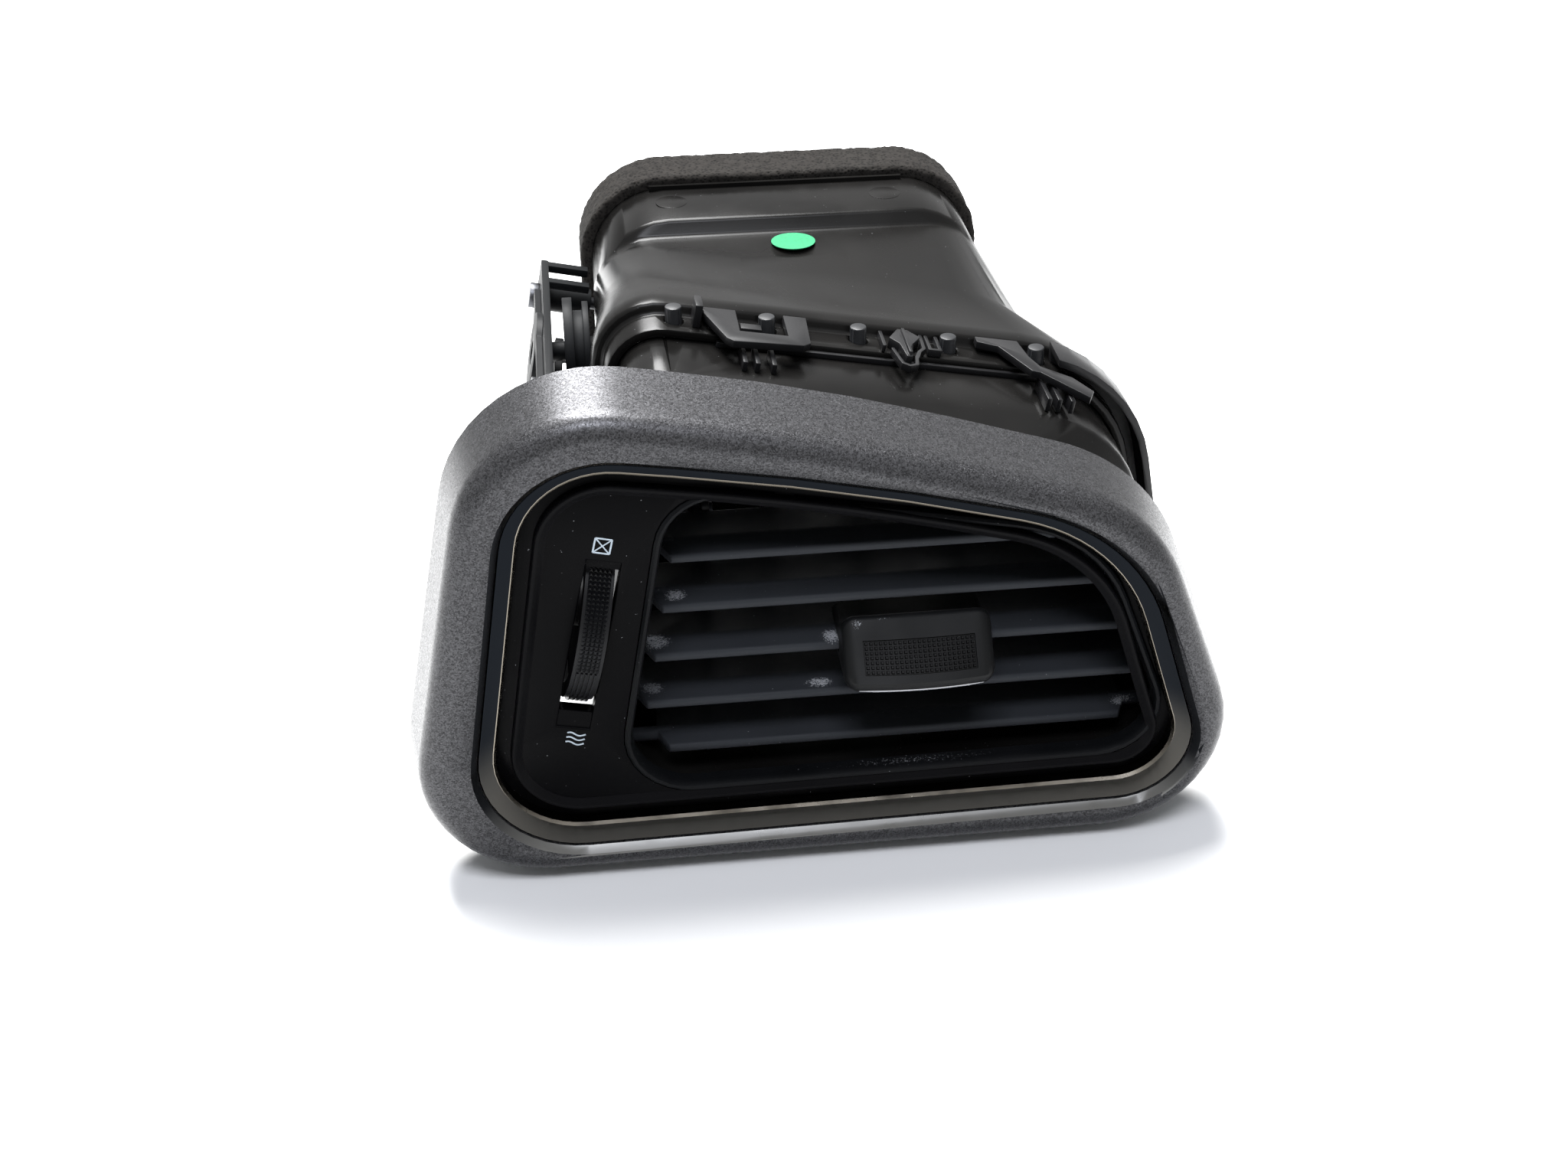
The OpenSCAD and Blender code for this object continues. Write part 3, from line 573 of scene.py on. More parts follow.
@dataclass(frozen=True)
class SpottedSteel(Finish):
    """Dulled zinc-plated steel: a grey metal whose gloss changes in small spots."""

    name: str = "zinc_plated_steel"
    colour: str = "#4c4d50"
    spot_mm: float = 0.35
    gloss: Flat = (0.28, 0.5)

    def feed(self, graph: Graph) -> dict:
        """Gives the shader's inputs."""
        rough = graph.span(graph.noise(self.spot_mm, 3.0), UNIT, self.gloss)
        return {"Base Color": linear(self.colour), "Roughness": rough, "Metallic": 1.0}


@dataclass(frozen=True)
class MattPaint(Finish):
    """Matt wall paint: one pale colour with hardly any shine."""

    name: str = "floor_paint"
    colour: str = "#f1f1f0"
    roughness: float = 0.9
    specular: float = 0.1

    def feed(self, graph: Graph) -> dict:
        """Gives the shader's inputs."""
        fed = {"Base Color": linear(self.colour), "Roughness": self.roughness}
        return fed | {"Specular IOR Level": self.specular}


class Edge(Enum):
    """How sharp a moulded piece's edges are: the bevel's width in millimetres."""

    KEPT = 0.0
    CRISP = 0.12
    EASED = 0.3
    SOFT = 0.8


@dataclass
class Bench:
    """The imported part, with what every sub-assembly needs to place its pieces."""

    frame: dict
    bodies: dict[str, str] = field(default_factory=dict)

    def __post_init__(self) -> None:
        """Notes the body of every node."""
        for body, nodes in self.frame["record"]["behaviour"]["bodies"].items():
            for node in nodes:
                self.bodies[node] = body

    def add(
        self, name: str, shape: Shape, material: Material, body: str, slot: str = ""
    ) -> Thing:
        """Turns a finished bmesh, in metres, to a smooth-shaded piece that rides on a body.

        Args:
            name: The piece's name.
            shape: The mesh, freed afterwards.
            material: Its material.
            body: The body that it rides on.
            slot: The record's material slot of a piece that replaces no node. It is not used.

        Returns:
            The new object.
        """
        mesh = bpy.data.meshes.new(name)
        shape.to_mesh(mesh)
        shape.free()
        mesh.shade_smooth()
        mesh.set_sharp_from_angle(angle=math.radians(SMOOTH_DEGREES))
        mesh.materials.append(material)
        piece = stood(name, mesh)
        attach(piece, body)
        LOG.info("%s: %d faces on %s", name, len(mesh.polygons), body)
        return piece

    def merged(self, node: str) -> Shape:
        """Gives a CAD node's shape as a merged bmesh with its flat faces joined."""
        shape = bmesh.new()
        shape.from_mesh(self.frame["nodes"][node].data)
        bmesh.ops.remove_doubles(shape, verts=shape.verts, dist=MERGE_M)
        bmesh.ops.dissolve_limit(
            shape,
            angle_limit=math.radians(FLAT_DEGREES),
            verts=shape.verts,
            edges=shape.edges,
            use_dissolve_boundaries=False,
        )
        return shape

    def eased(
        self, node: str, edge: Edge, material: Material, angle: float = SMOOTH_DEGREES
    ) -> Thing:
        """Stands a smooth-shaded copy with eased edges in a CAD node's place.

        Args:
            node: The CAD node.
            edge: How far its edges are eased.
            material: The piece's material.
            angle: Edges sharper than this, in degrees, are eased.

        Returns:
            The new object.
        """
        shape = self.merged(node)
        if edge is not Edge.KEPT:
            least = math.radians(angle)
            inner = [e for e in shape.edges if len(e.link_faces) == 2]
            sharp = [e for e in inner if e.calc_face_angle(0.0) > least]
            bmesh.ops.bevel(
                shape,
                geom=sharp,
                offset=edge.value * MM,
                offset_type="OFFSET",
                segments=2,
                profile=0.5,
                affect="EDGES",
                clamp_overlap=False,
                material=-1,
            )
        piece = self.add(node + "_looks", shape, material, self.bodies[node])
        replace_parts(piece, node)
        return piece

    def ease_all(
        self, nodes: str, edge: Edge, material: Material, angle: float = SMOOTH_DEGREES
    ) -> None:
        """Stands eased copies in the place of several nodes, named in one text."""
        for node in nodes.split():
            self.eased(node, edge, material, angle)


# Panel, ring and symbols, in millimetres; slopes are parts of a face's normal.
MIDDLE_X = -8.0
CHAMFER_SLOPE = (0.5, 0.9)
BEAD_Y = (-13.05, -12.45)
BEAD_SLOPE = 0.2
BORDER_SECTION = (
    (-0.1, 0.9), (-0.06, -0.5), (0.08, -0.85), (0.35, -1.05), (0.75, -1.08),
    (1.05, -0.95), (1.9, -0.25), (2.3, -0.03), (2.3, 0.5),
)
SQUARE_MM = 3.2
SQUARE_AT = (-58.6, 26.1)
WAVES_AT = (-66.4, -19.2)
WAVE_HALF = 1.85
WAVE_HEIGHT = 0.32
WAVE_START = 0.5
WAVE_LEVELS = (-1.15, 0.0, 1.15)
SYMBOL_LEAN = -13.0
STROKE_MM = 0.34
THIN_STROKE = 0.75
INK_MM = 0.09
INK_STEP = 0.004
INK_SUNK = 0.05


def faces_in(face: bpy.types.MeshPolygon) -> bool:
    """Says whether a face looks towards the middle of the outlet."""
    inward = Vector((MIDDLE_X, 0.0, 0.0)) * MM - face.center
    return inward.x * face.normal.x + inward.z * face.normal.z > 0


def on_panel(at: Flat) -> Matrix:
    """Gives the place of a symbol that stands on the panel and leans with the wheel."""
    upright = Matrix.Rotation(math.radians(90), 4, "X")
    turn = Matrix.Rotation(math.radians(SYMBOL_LEAN), 4, "Z")
    return Matrix.Translation((at[0], PANEL_Y + INK_SUNK, at[1])) @ upright @ turn


@dataclass
class Surround:
    """Painted surround, trim ring, panel with its rolled border, outlet lip and the two symbols."""

    bench: Bench
    # Grey paint: the flakes give the sparkle, the share of metal gives the wide sheen.
    paint: FlakePaint = FlakePaint()
    # Painted highlight on the chamfer: a rough bright film draws a soft line of painted light, and
    # painted shade fades it out upwards.
    edge_highlight: FilmAndPaintedHighlight = FilmAndPaintedHighlight(
        "chamfer_painted_highlight", "#626261", 0.3, shaded_colour="#131416", lit_z=-45.0, shaded_z=-30.0
    )
    # Dark chrome: a dark mirror, painted lighter along the bottom as painted reflection and darker
    # towards the top as painted shade.
    film: FilmAndPaintedHighlight = FilmAndPaintedHighlight()
    # Painted highlight on the ring's bead: a lighter, warm copy of the film draws the thin line,
    # darkened towards the top as painted shade.
    line: FilmAndPaintedHighlight = FilmAndPaintedHighlight("bead_painted_highlight", "#b9b2a6", 0.22, shaded_colour="#7d776d")
    # Smooth black ABS: hardly any shine, so that single specks of dust stand out.
    panel: MouldedPlastic = MouldedPlastic(
        "panel_abs", "#030304", "#050506", roughness=0.34, grain_height_mm=0.004,
        specular=0.03, specks=0.5
    )
    # Grained black ABS: a softer, greyer black, with dust along the lower lip.
    lip: MouldedPlastic = MouldedPlastic(
        "lip_abs", "#090a0b", "#0f1012", roughness=0.45, specular=0.06, grain_height_mm=0.02,
        specks=0.35,
        patches=(Patch((0.0, -9.0, -31.5), (56.0, 5.0, 3.2), 0.55, 0.45),),
    )
    # The panel's rolled edge: the same ABS, duller, so that its roll reads as a faint line.
    border: MouldedPlastic = MouldedPlastic(
        "border_abs", "#050506", "#08080a", roughness=0.45, specular=0.04
    )
    # Pale blue-grey print.
    ink: PrintedInk = PrintedInk("symbol_ink", "#9fabb5")

    def build(self) -> None:
        """Makes the front of the vent."""
        self._shell()
        self._ring()
        panel = self.panel.build()
        self.bench.eased("fascia", Edge.EASED, panel)
        self._border(self.border.build())
        self.bench.eased("outlet_frame", Edge.KEPT, self.lip.build())
        self._symbols(self.ink.build())

    def _shell(self) -> None:
        """Stands the painted surround in the light, with a painted highlight on the chamfer beside
        the ring.
        """
        shell = self.bench.eased("bezel", Edge.KEPT, self.paint.build())
        shell.data.materials.append(self.edge_highlight.build())
        low, high = CHAMFER_SLOPE
        # The chamfer's faces take the painted highlight.
        for face in shell.data.polygons:
            in_front = face.center.y < CHAMFER_BACK_Y * MM
            if in_front and low < -face.normal.y < high and faces_in(face):
                face.material_index = 1

    def _ring(self) -> None:
        """Stands the ring in its finer film, with a painted highlight line on its inner bead."""
        ring = self.bench.eased("trim_ring", Edge.KEPT, self.film.build())
        ring.data.materials.append(self.line.build())
        front, back = (y * MM for y in BEAD_Y)
        # The bead's faces take the painted highlight.
        for face in ring.data.polygons:
            if front < face.center.y < back and -face.normal.y > BEAD_SLOPE:
                face.material_index = 1

    def _border(self, material: Material) -> None:
        """Rolls the raised border round the panel's edge."""
        edge = RING_W + GROOVE_W
        loops = []
        for off, y in BORDER_SECTION:
            around = outline(RING_CORNERS, -(edge + off))
            loops.append([(x, PANEL_Y + y, z) for x, z in around])
        self.bench.add("panel_border", skin(loops), material, "housing", "black_gloss")

    def _symbols(self, ink: Material) -> None:
        """Prints the closed square above the wheel and the three waves below it."""
        half = SQUARE_MM / 2
        corners = [(-half, -half), (half, -half), (half, half), (-half, half)]
        bars = [(corners[k], corners[(k + 1) % 4], STROKE_MM) for k in range(4)]
        for k, m in ((0, 2), (3, 1)):
            bars.append((corners[k], corners[m], STROKE_MM * THIN_STROKE))
        place = on_panel(SQUARE_AT)
        strokes = []
        for i, (a, b, width) in enumerate(bars):
            top = INK_MM + INK_STEP * i
            strokes.append(prism(ribbon([a, b], width), 0.0, top, place))
        self.bench.add("symbol_closed", joined(strokes), ink, "housing", "bright_line")
        place = on_panel(WAVES_AT)
        waves = []
        for level in WAVE_LEVELS:
            points = []
            for share in spread(-1.0, 1.0, steps=24):
                rise = math.sin(math.pi * (share + 1) + WAVE_START)
                points.append((WAVE_HALF * share, level + WAVE_HEIGHT * rise))
            waves.append(prism(ribbon(points, STROKE_MM), 0.0, INK_MM, place))
        self.bench.add("symbol_open", joined(waves), ink, "housing", "bright_line")


@dataclass
class Louvre:
    """Slats and their link."""

    bench: Bench
    # Eroded grey-black ABS: no clear highlight, with crumbs of dust where cloths don't reach.
    slat_plastic: MouldedPlastic = MouldedPlastic(
        "slat_abs", "#27292c", "#2e3034", roughness=0.55, specular=0.08, grain_height_mm=0.018,
        specks=0.4,
        patches=(
            Patch((-44.7, 0.4, 6.3), (5.0, 4.5, 3.0), 0.7, 0.4),
            Patch((-49.0, 1.5, -5.5), (6.5, 6.0, 3.0), 0.7, 0.4),
            Patch((-50.0, 1.5, -17.0), (5.0, 4.5, 3.0), 0.4, 0.4),
            Patch((-13.2, -0.7, -5.5), (4.5, 5.0, 3.0), 0.7, 0.4),
            Patch((-15.6, -0.5, -17.3), (6.0, 3.5, 3.0), 0.75, 0.4),
            Patch((50.5, 0.7, -29.0), (6.5, 4.0, 3.0), 0.65, 0.35),
        ),
    )
    # Plain acetal: even grey-black with a soft shine.
    link_plastic: MouldedPlastic = MouldedPlastic("link_pom", "#1b1c1e", "#202124")

    def build(self) -> None:
        """Makes the louvre."""
        slats = "slat_1 slat_2 slat_3 slat_4 slat_5"
        self.bench.ease_all(slats, Edge.EASED, self.slat_plastic.build())
        self.bench.ease_all("slat_link", Edge.CRISP, self.link_plastic.build())


# The grip about the middle of its slat, in y and z; x runs across. Spans are in degrees.
GRIP_X = 3.2
GRIP_Z = -6.7
GRIP_W = 30.5
NOSE_Y = -15.5
NOSE_R = 2.4
NOSE_SPAN = (270.0, 170.0)
GRIP_DOWN = 4.2
GRIP_UP = 8.4
CREST_Y = -5.2
CREST_R = 1.6
CREST_SPAN = (135.0, 45.0)
BACK_Y = 7.0
BACK_FOOT = (2.0, 1.2)
ROOF = (0.0, 4.25)
BACK_TOP = 4.05
SLOT_HALF = 1.45
SLOT_FRONT_Y = -3.2
END_R = 2.7
DRAWN_FROM = -6.0
DRAWN_MM = 7.5
BULGE_MM = 1.3
BULGE_FROM = -4.0
BULGE_RUN = 11.0
PAD_W = 22.5
PAD_L = 7.0
PAD_FOOT = 1.9
PAD_GAP = 0.15
PAD_RECESS = 0.6
PAD_UNDER = -0.55
PAD_TOP = -0.3
WALL_RUN = 0.01
STUD_COLUMNS = 23
STUD_ROWS = 7
STUD_LEVELS = ((0.33, -0.32), (0.29, -0.06), (0.2, 0.06))
WIRES = ((223.0, 0.17), (235.0, 0.2))
WIRE_SUNK = 0.02
WIRE_END = 2.6
WIRE_TIP = 0.25
WIRE_GROWTH = 3.0
NOSE = (NOSE_Y + NOSE_R, -GRIP_DOWN + NOSE_R)
CREST = (CREST_Y, GRIP_UP - CREST_R)


def grip_bulge(x: float, y: float) -> float:
    """Gives how far the nose falls back at a place, for a front that is curved in plan."""
    share = max(0.0, min(1.0, (BULGE_FROM - y) / BULGE_RUN))
    return BULGE_MM * (2 * x / GRIP_W) ** 2 * share


def grip_point(x: float, y: float, z: float) -> Point:
    """Turns a place about the grip's centre to the part's frame, with the plan's curve."""
    return (GRIP_X + x, y + grip_bulge(x, y), GRIP_Z + z)


def grip_face() -> tuple[Vector, Vector, Vector]:
    """Gives the sloping face's foot, its direction up the slope and its outward normal."""
    foot = on_circle(NOSE, NOSE_R, NOSE_SPAN[1])
    head = on_circle(CREST, CREST_R, CREST_SPAN[0])
    along = (head - foot).normalized()
    return foot, along, Vector((-along.y, along.x))


def grip_section(inset: float, recess: float) -> list[Flat]:
    """Gives the shell's cross-section in y and z.

    Args:
        inset: How far the section is drawn in towards the slat, at the rounded ends.
        recess: Depth of the pad's recess in the face.

    Returns:
        Points round the section.
    """
    foot, along, normal = grip_face()
    start = foot + along * (PAD_FOOT - PAD_GAP)
    end = foot + along * (PAD_FOOT + PAD_L + PAD_GAP)
    run, rise = BACK_FOOT
    around = [Vector((BACK_Y, -GRIP_DOWN + rise)), Vector((BACK_Y - run, -GRIP_DOWN))]
    around += arc(NOSE, NOSE_R, NOSE_SPAN, steps=12)
    around += [start, start - normal * recess, end - normal * recess, end]
    around += arc(CREST, CREST_R, CREST_SPAN, steps=10)
    around += [Vector(ROOF), Vector((BACK_Y, BACK_TOP))]
    share = 1 - inset / DRAWN_MM
    drawn = []
    for spot in around:
        ahead = min(0.0, spot.x - DRAWN_FROM)
        drawn.append((spot.x - ahead + ahead * share, spot.y * share))
    half = SLOT_HALF
    slot = [(BACK_Y, half), (SLOT_FRONT_Y, half)]
    return drawn + slot + [(y, -half) for y, _ in reversed(slot)]


def grip_shell() -> Shape:
    """Lofts the shell from one end to the other."""
    half, pad_half = GRIP_W / 2, PAD_W / 2 + PAD_GAP
    ends = []
    for turn in arc((0.0, 0.0), 1.0, (0.0, 90.0), steps=7):
        ends.append((half - END_R * (1 - turn.x), END_R * (1 - turn.y), 0.0))
    ends.append((pad_half + WALL_RUN, 0.0, 0.0))
    stations = [(-x, inset, recess) for x, inset, recess in ends]
    stations += [(x, 0.0, PAD_RECESS) for x in spread(-pad_half, pad_half, steps=10)]
    stations += reversed(ends)
    loops = []
    for x, inset, recess in stations:
        loops.append([grip_point(x, y, z) for y, z in grip_section(inset, recess)])
    return skin(loops, ring=False)


def on_grip(x: float, up: float, out: float) -> Point:
    """Turns a place on the sloping face to one in the part's frame."""
    foot, along, normal = grip_face()
    flat = foot + along * up + normal * out
    return grip_point(x, flat.x, flat.y)


def grip_pad() -> Shape:
    """Builds the pad: a thin bent plate with rows of square studs."""
    pitch_x, pitch_up = PAD_W / STUD_COLUMNS, PAD_L / STUD_ROWS
    first, last = PAD_FOOT, PAD_FOOT + PAD_L
    under, top = PAD_UNDER, PAD_TOP
    corners = ((first, under), (first, top), (last, top), (last, under))
    across = spread(-PAD_W / 2, PAD_W / 2, STUD_COLUMNS)
    plate = [[on_grip(x, up, out) for up, out in corners] for x in across]
    shapes = [skin(plate, ring=False)]
    square = ((-1, -1), (1, -1), (1, 1), (-1, 1))
    for row in range(STUD_ROWS):
        for column in range(STUD_COLUMNS):
            x = (column + 0.5 - STUD_COLUMNS / 2) * pitch_x
            up = PAD_FOOT + (row + 0.5) * pitch_up
            stud = []
            for half, out in STUD_LEVELS:
                stud.append([on_grip(x + i * half, up + k * half, out) for i, k in square])
            shapes.append(skin(stud, ring=False))
    return joined(shapes)


def grip_line() -> Shape:
    """Bends two thin bright wires round the nose's underside."""
    half = GRIP_W / 2 - WIRE_END
    shapes = []
    for degrees, radius in WIRES:
        centre = on_circle(NOSE, NOSE_R - WIRE_SUNK, degrees)
        loops = []
        for x in spread(-half, half, steps=40):
            r = radius * min(1.0, WIRE_TIP + WIRE_GROWTH * (1 - abs(x) / half))
            around = ellipse(centre.x, centre.y, r, r, count=8)
            loops.append([grip_point(x, y, z) for y, z in around])
        shapes.append(skin(loops, ring=False))
    return joined(shapes)


@dataclass
class Grip:
    """Finger grip on the middle slat: a soft-edged shell, a pad of small studs, a bright line."""

    bench: Bench
    # Soft-touch skin: fine and matt, with pale dust rubbed into its left end.
    plastic: MouldedPlastic = MouldedPlastic(
        "grip_soft_touch", "#090a0b", "#0e0f10", roughness=0.5, specular=0.14,
        grain_height_mm=0.008, dust_colour="#b9bcc0",
        patches=(
            Patch((-9.0, -8.0, 1.4), (3.6, 4.5, 2.6), 0.8, 0.35),
            Patch((-3.8, -6.3, 1.9), (4.5, 1.5, 1.2), 0.6, 0.35),
        ),
    )
    # The pad's rubber: the blackest piece, so that only its studs' edges catch light.
    pad_plastic: MouldedPlastic = MouldedPlastic(
        "pad_soft_touch", "#030304", "#050506", roughness=0.45, specular=0.12, specks=0.3
    )
    # Bright chrome: a clear mirror all along.
    trim: FilmAndPaintedHighlight = FilmAndPaintedHighlight("bright_chrome", "#d2d4d8", 0.12, shaded_colour="#d2d4d8")

    def build(self) -> None:
        """Makes the grip."""
        add = self.bench.add
        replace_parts(add("grip_shell", grip_shell(), self.plastic.build(), "grip"), "grip")
        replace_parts(add("grip_studs", grip_pad(), self.pad_plastic.build(), "grip"), "grip_pad")
        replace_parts(add("grip_line", grip_line(), self.trim.build(), "grip"), "grip_trim")
        self.bench.eased("grip_slider", Edge.CRISP, bpy.data.materials["link_pom"])


# Duct, foam band and mould marks, in millimetres. EASED_FROM is in degrees.
EASED_FROM = 40.0
BAND_STEP = 0.85
BAND_ROUND = 1.1
BAND_TAIL = 0.6
FOAM_PITS = ((0.9, 0.45), (0.33, 0.35))
PITTED_FROM = 0.5
FRONT_PITS = 0.6
DISCS = ((-36.2, 110.1, NECK_TOP_Z), (14.6, 109.5, NECK_TOP_Z), (-35.6, 62.5, DUCT_TOP_Z))
DISC_R = 3.7
DISC_TOP = 0.95
DISC_HEIGHT = 0.1
BAR_X = (-41.0, 19.9)
BAR_Y = (117.6, 118.6)
BAR_HEIGHT = 1.0
DOT_AT = (-9.4, 92.6)
DOT_HALF = (5.1, 4.6)
DOT_HEIGHT = 0.08
MARK_SUNK = 0.1


def band_section(start: float, end: float) -> list[Flat]:
    """Gives the foam band's cross-section.

    Args:
        start: Where the band starts, in y.
        end: Where it ends, in y.

    Returns:
        Pairs of the height over the neck and the place in y.
    """
    section = [(0.02, start + 0.25), (0.6, start + 0.05)]
    curve = BAND_ROUND
    middle = (FOAM_T - curve, start + curve)
    section += [tuple(p) for p in arc(middle, curve, (-90.0, 0.0), steps=5)]
    flat = spread(start + curve, end - BAND_TAIL, steps=13)
    section += [(FOAM_T, y) for y in flat[1:]]
    section += [(FOAM_T - 0.3, end - 0.2), (FOAM_T - 1.0, end)]
    return section + [(0.6, end), (0.02, end - 0.1)]


def foam_band() -> Shape:
    """Wraps the foam band round the neck, with a torn, pitted surface."""
    start, end = NECK_END_Y - FOAM_L, NECK_END_Y + 1
    around = [Vector(p) for p in resampled(outline(NECK_CORNERS, FOAM_T / 2), BAND_STEP)]
    count = len(around)
    centre = sum(around, Vector((0, 0))) / count
    loops = []
    for off, y in band_section(start, end):
        loop = []
        for i, here in enumerate(around):
            run = (around[(i + 1) % count] - around[i - 1]).normalized()
            out = Vector((run.y, -run.x))
            if out.dot(here - centre) < 0:
                out = -out
            place = here + out * (off - FOAM_T / 2)
            spot = Vector((place.x, y, place.y))
            pit = sum(max(0.0, noise.noise(spot * scale)) * deep for scale, deep in FOAM_PITS)
            depth = pit if off > PITTED_FROM else 0.0
            shift = -out * depth * min(1.0, off / FOAM_T)
            inward = depth * FRONT_PITS if y < start + PITTED_FROM else 0.0
            loop.append((place.x + shift.x, y + inward, place.y + shift.y))
        loops.append(loop)
    return skin(loops)


@dataclass
class Ducting:
    """Front housing, duct, foam band, vanes and the marks that moulding left."""

    bench: Bench
    # Polypropylene from a polished mould: warm black with a low gloss in wide, slow clouds.
    duct_plastic: MouldedPlastic = MouldedPlastic(
        "duct_pp", "#090909", "#131211", cloud_mm=26.0, roughness=0.26, specular=0.11,
        grain_height_mm=0.004, specks=0.2
    )
    # The same polypropylene where it is thin: a lighter, harder shine sets the clips off.
    clip_plastic: MouldedPlastic = MouldedPlastic(
        "clip_pp", "#101011", "#19191a", roughness=0.36, specular=0.22
    )
    # Acetal: denser and shinier than the duct.
    vane_plastic: MouldedPlastic = MouldedPlastic("vane_pom", "#151618", "#1b1c1e", specular=0.3)
    # Foam: painted shade darkens the pores' pits; the cells' rims keep the warm grey.
    foam: CellFoam = CellFoam()
    # Green marker ink, in a thin wet-looking film.
    dot: PrintedInk = PrintedInk("marker_ink", "#06784c", 0.45)

    def build(self) -> None:
        """Makes the duct and what is in it."""
        duct = self.duct_plastic.build()
        self.bench.ease_all("front_housing rear_duct", Edge.SOFT, duct, EASED_FROM)
        clips = "rim_clips housing_ribs rim_fin"
        self.bench.ease_all(clips, Edge.CRISP, self.clip_plastic.build())
        vane = self.vane_plastic.build()
        self.bench.ease_all("vane_1 vane_2 vane_3 vane_4 vane_5", Edge.EASED, vane)
        self.bench.ease_all("vane_link", Edge.CRISP, vane)
        foam = self.foam.build()
        band = self.bench.add("foam_band", foam_band(), foam, "housing")
        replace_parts(band, "foam_seal")
        self.bench.eased("damper_foam", Edge.CRISP, foam)
        self._marks(duct)

    def _marks(self, duct: Material) -> None:
        """Adds the ejector discs, the bar before the foam and the green marker dot."""
        flat = Matrix.Identity(4)
        shapes = []
        for x, y, top in DISCS:
            levels = (
                (DISC_R, top - MARK_SUNK),
                (DISC_R, top + DISC_HEIGHT / 2),
                (DISC_R * DISC_TOP, top + DISC_HEIGHT),
            )
            loops = [[(*p, z) for p in ellipse(x, y, r, r, count=40)] for r, z in levels]
            shapes.append(skin(loops, ring=False))
        (left, right), (front, back) = BAR_X, BAR_Y
        bar = [(left, front), (right, front), (right, back), (left, back)]
        shapes.append(prism(bar, NECK_TOP_Z - MARK_SUNK, NECK_TOP_Z + BAR_HEIGHT, flat))
        self.bench.add("mould_marks", joined(shapes), duct, "housing", "black_duct")
        round_dot = ellipse(*DOT_AT, *DOT_HALF, count=48)
        dot = prism(round_dot, DUCT_TOP_Z - MARK_SUNK, DUCT_TOP_Z + DOT_HEIGHT, flat)
        self.bench.add("marker_dot", dot, self.dot.build(), "housing", "bright_line")


# The wheel: angles count up from straight ahead, in degrees.
WHEEL_AT = (-62.4, 3.7, 4.0)
WHEEL_R = 20.0
WHEEL_LEAN = 12.0
SIDE_SLOPE = 0.9
RIM_SKIN = 0.7
RIM_CUT = 0.55
KNURL_W = 4.4
KNURL_DEPTHS = (0.75, 0.5, 0.02)
KNURL_SPANS = ((-11.0, 125.0), (-125.0, -62.0))
RIM_COLUMNS = 5
ROW_DEGREES = 2.65
LOW_RIBS = (-39.0, -12.0)
LOW_RIB_MM = 0.3
HIGH_RIBS = (-61.0, -42.5)
CROSS_RIB = (-41.5, -40.0)
HIGH_RIB_MM = 0.5
RIB_SHARE = 0.62
RIB_DEGREES = 3.0
RIB_TOP = 0.35
CROSS_RIB_OVER = 0.2


def on_rim(degrees: float, across: float, radius: float) -> Point:
    """Gives a place on the leaning wheel.

    Args:
        degrees: The angle up from straight ahead.
        across: The distance from the wheel's middle, to the right.
        radius: The distance from the axle.

    Returns:
        The place in the part's frame, in millimetres.
    """
    a = math.radians(degrees)
    spot = Vector((across, -radius * math.cos(a), radius * math.sin(a)))
    lean = Matrix.Rotation(math.radians(WHEEL_LEAN), 4, "Y")
    return tuple(Matrix.Translation(WHEEL_AT) @ lean @ spot)


def knurl(first: float, last: float) -> Shape:
    """Cuts a band of pyramids round the rim between two angles."""
    low, base, tip = (WHEEL_R - depth for depth in KNURL_DEPTHS)
    rows = round((last - first) / ROW_DEGREES)
    shape = bmesh.new()

    def vert(degrees: float, across: float, radius: float) -> bmesh.types.BMVert:
        """Adds a point of the rim."""
        return shape.verts.new(Vector(on_rim(degrees, across, radius)) * MM)

    angles = spread(first, last, rows)
    edges = spread(-KNURL_W / 2, KNURL_W / 2, RIM_COLUMNS)
    grid = [[vert(a, e, base) for e in edges] for a in angles]
    foot = [[vert(a, e, low) for e in edges] for a in angles]
    for i in range(rows):
        for j in range(RIM_COLUMNS):
            ring = [grid[i][j], grid[i][j + 1], grid[i + 1][j + 1], grid[i + 1][j]]
            peak = vert((angles[i] + angles[i + 1]) / 2, (edges[j] + edges[j + 1]) / 2, tip)
            for k in range(4):
                shape.faces.new((ring[k], ring[(k + 1) % 4], peak))
            shape.faces.new((foot[i][j], foot[i + 1][j], foot[i + 1][j + 1], foot[i][j + 1]))
        for j in (0, RIM_COLUMNS):
            shape.faces.new((grid[i][j], grid[i + 1][j], foot[i + 1][j], foot[i][j]))
    for i in (0, rows):
        for j in range(RIM_COLUMNS):
            shape.faces.new((grid[i][j], grid[i][j + 1], foot[i][j + 1], foot[i][j]))
    bmesh.ops.recalc_face_normals(shape, faces=shape.faces)
    return shape


def rib(span: Flat, across: float, width: float, height: float) -> Shape:
    """Lays one rib round the rim.

    Args:
        span: The angles where it starts and ends.
        across: The distance from the wheel's middle, to the right.
        width: The width of its foot.
        height: Its height over the smooth rim.

    Returns:
        The rib's mesh.
    """
    first, last = span
    count = max(2, round((last - first) / RIB_DEGREES))
    low, top = WHEEL_R - KNURL_DEPTHS[0], WHEEL_R - RIM_CUT + height
    corners = ((-0.5, low), (-RIB_TOP, top), (RIB_TOP, top), (0.5, low))
    loops = []
    for a in spread(first, last, count):
        loops.append([on_rim(a, across + side * width, radius) for side, radius in corners])
    return skin(loops, ring=False)


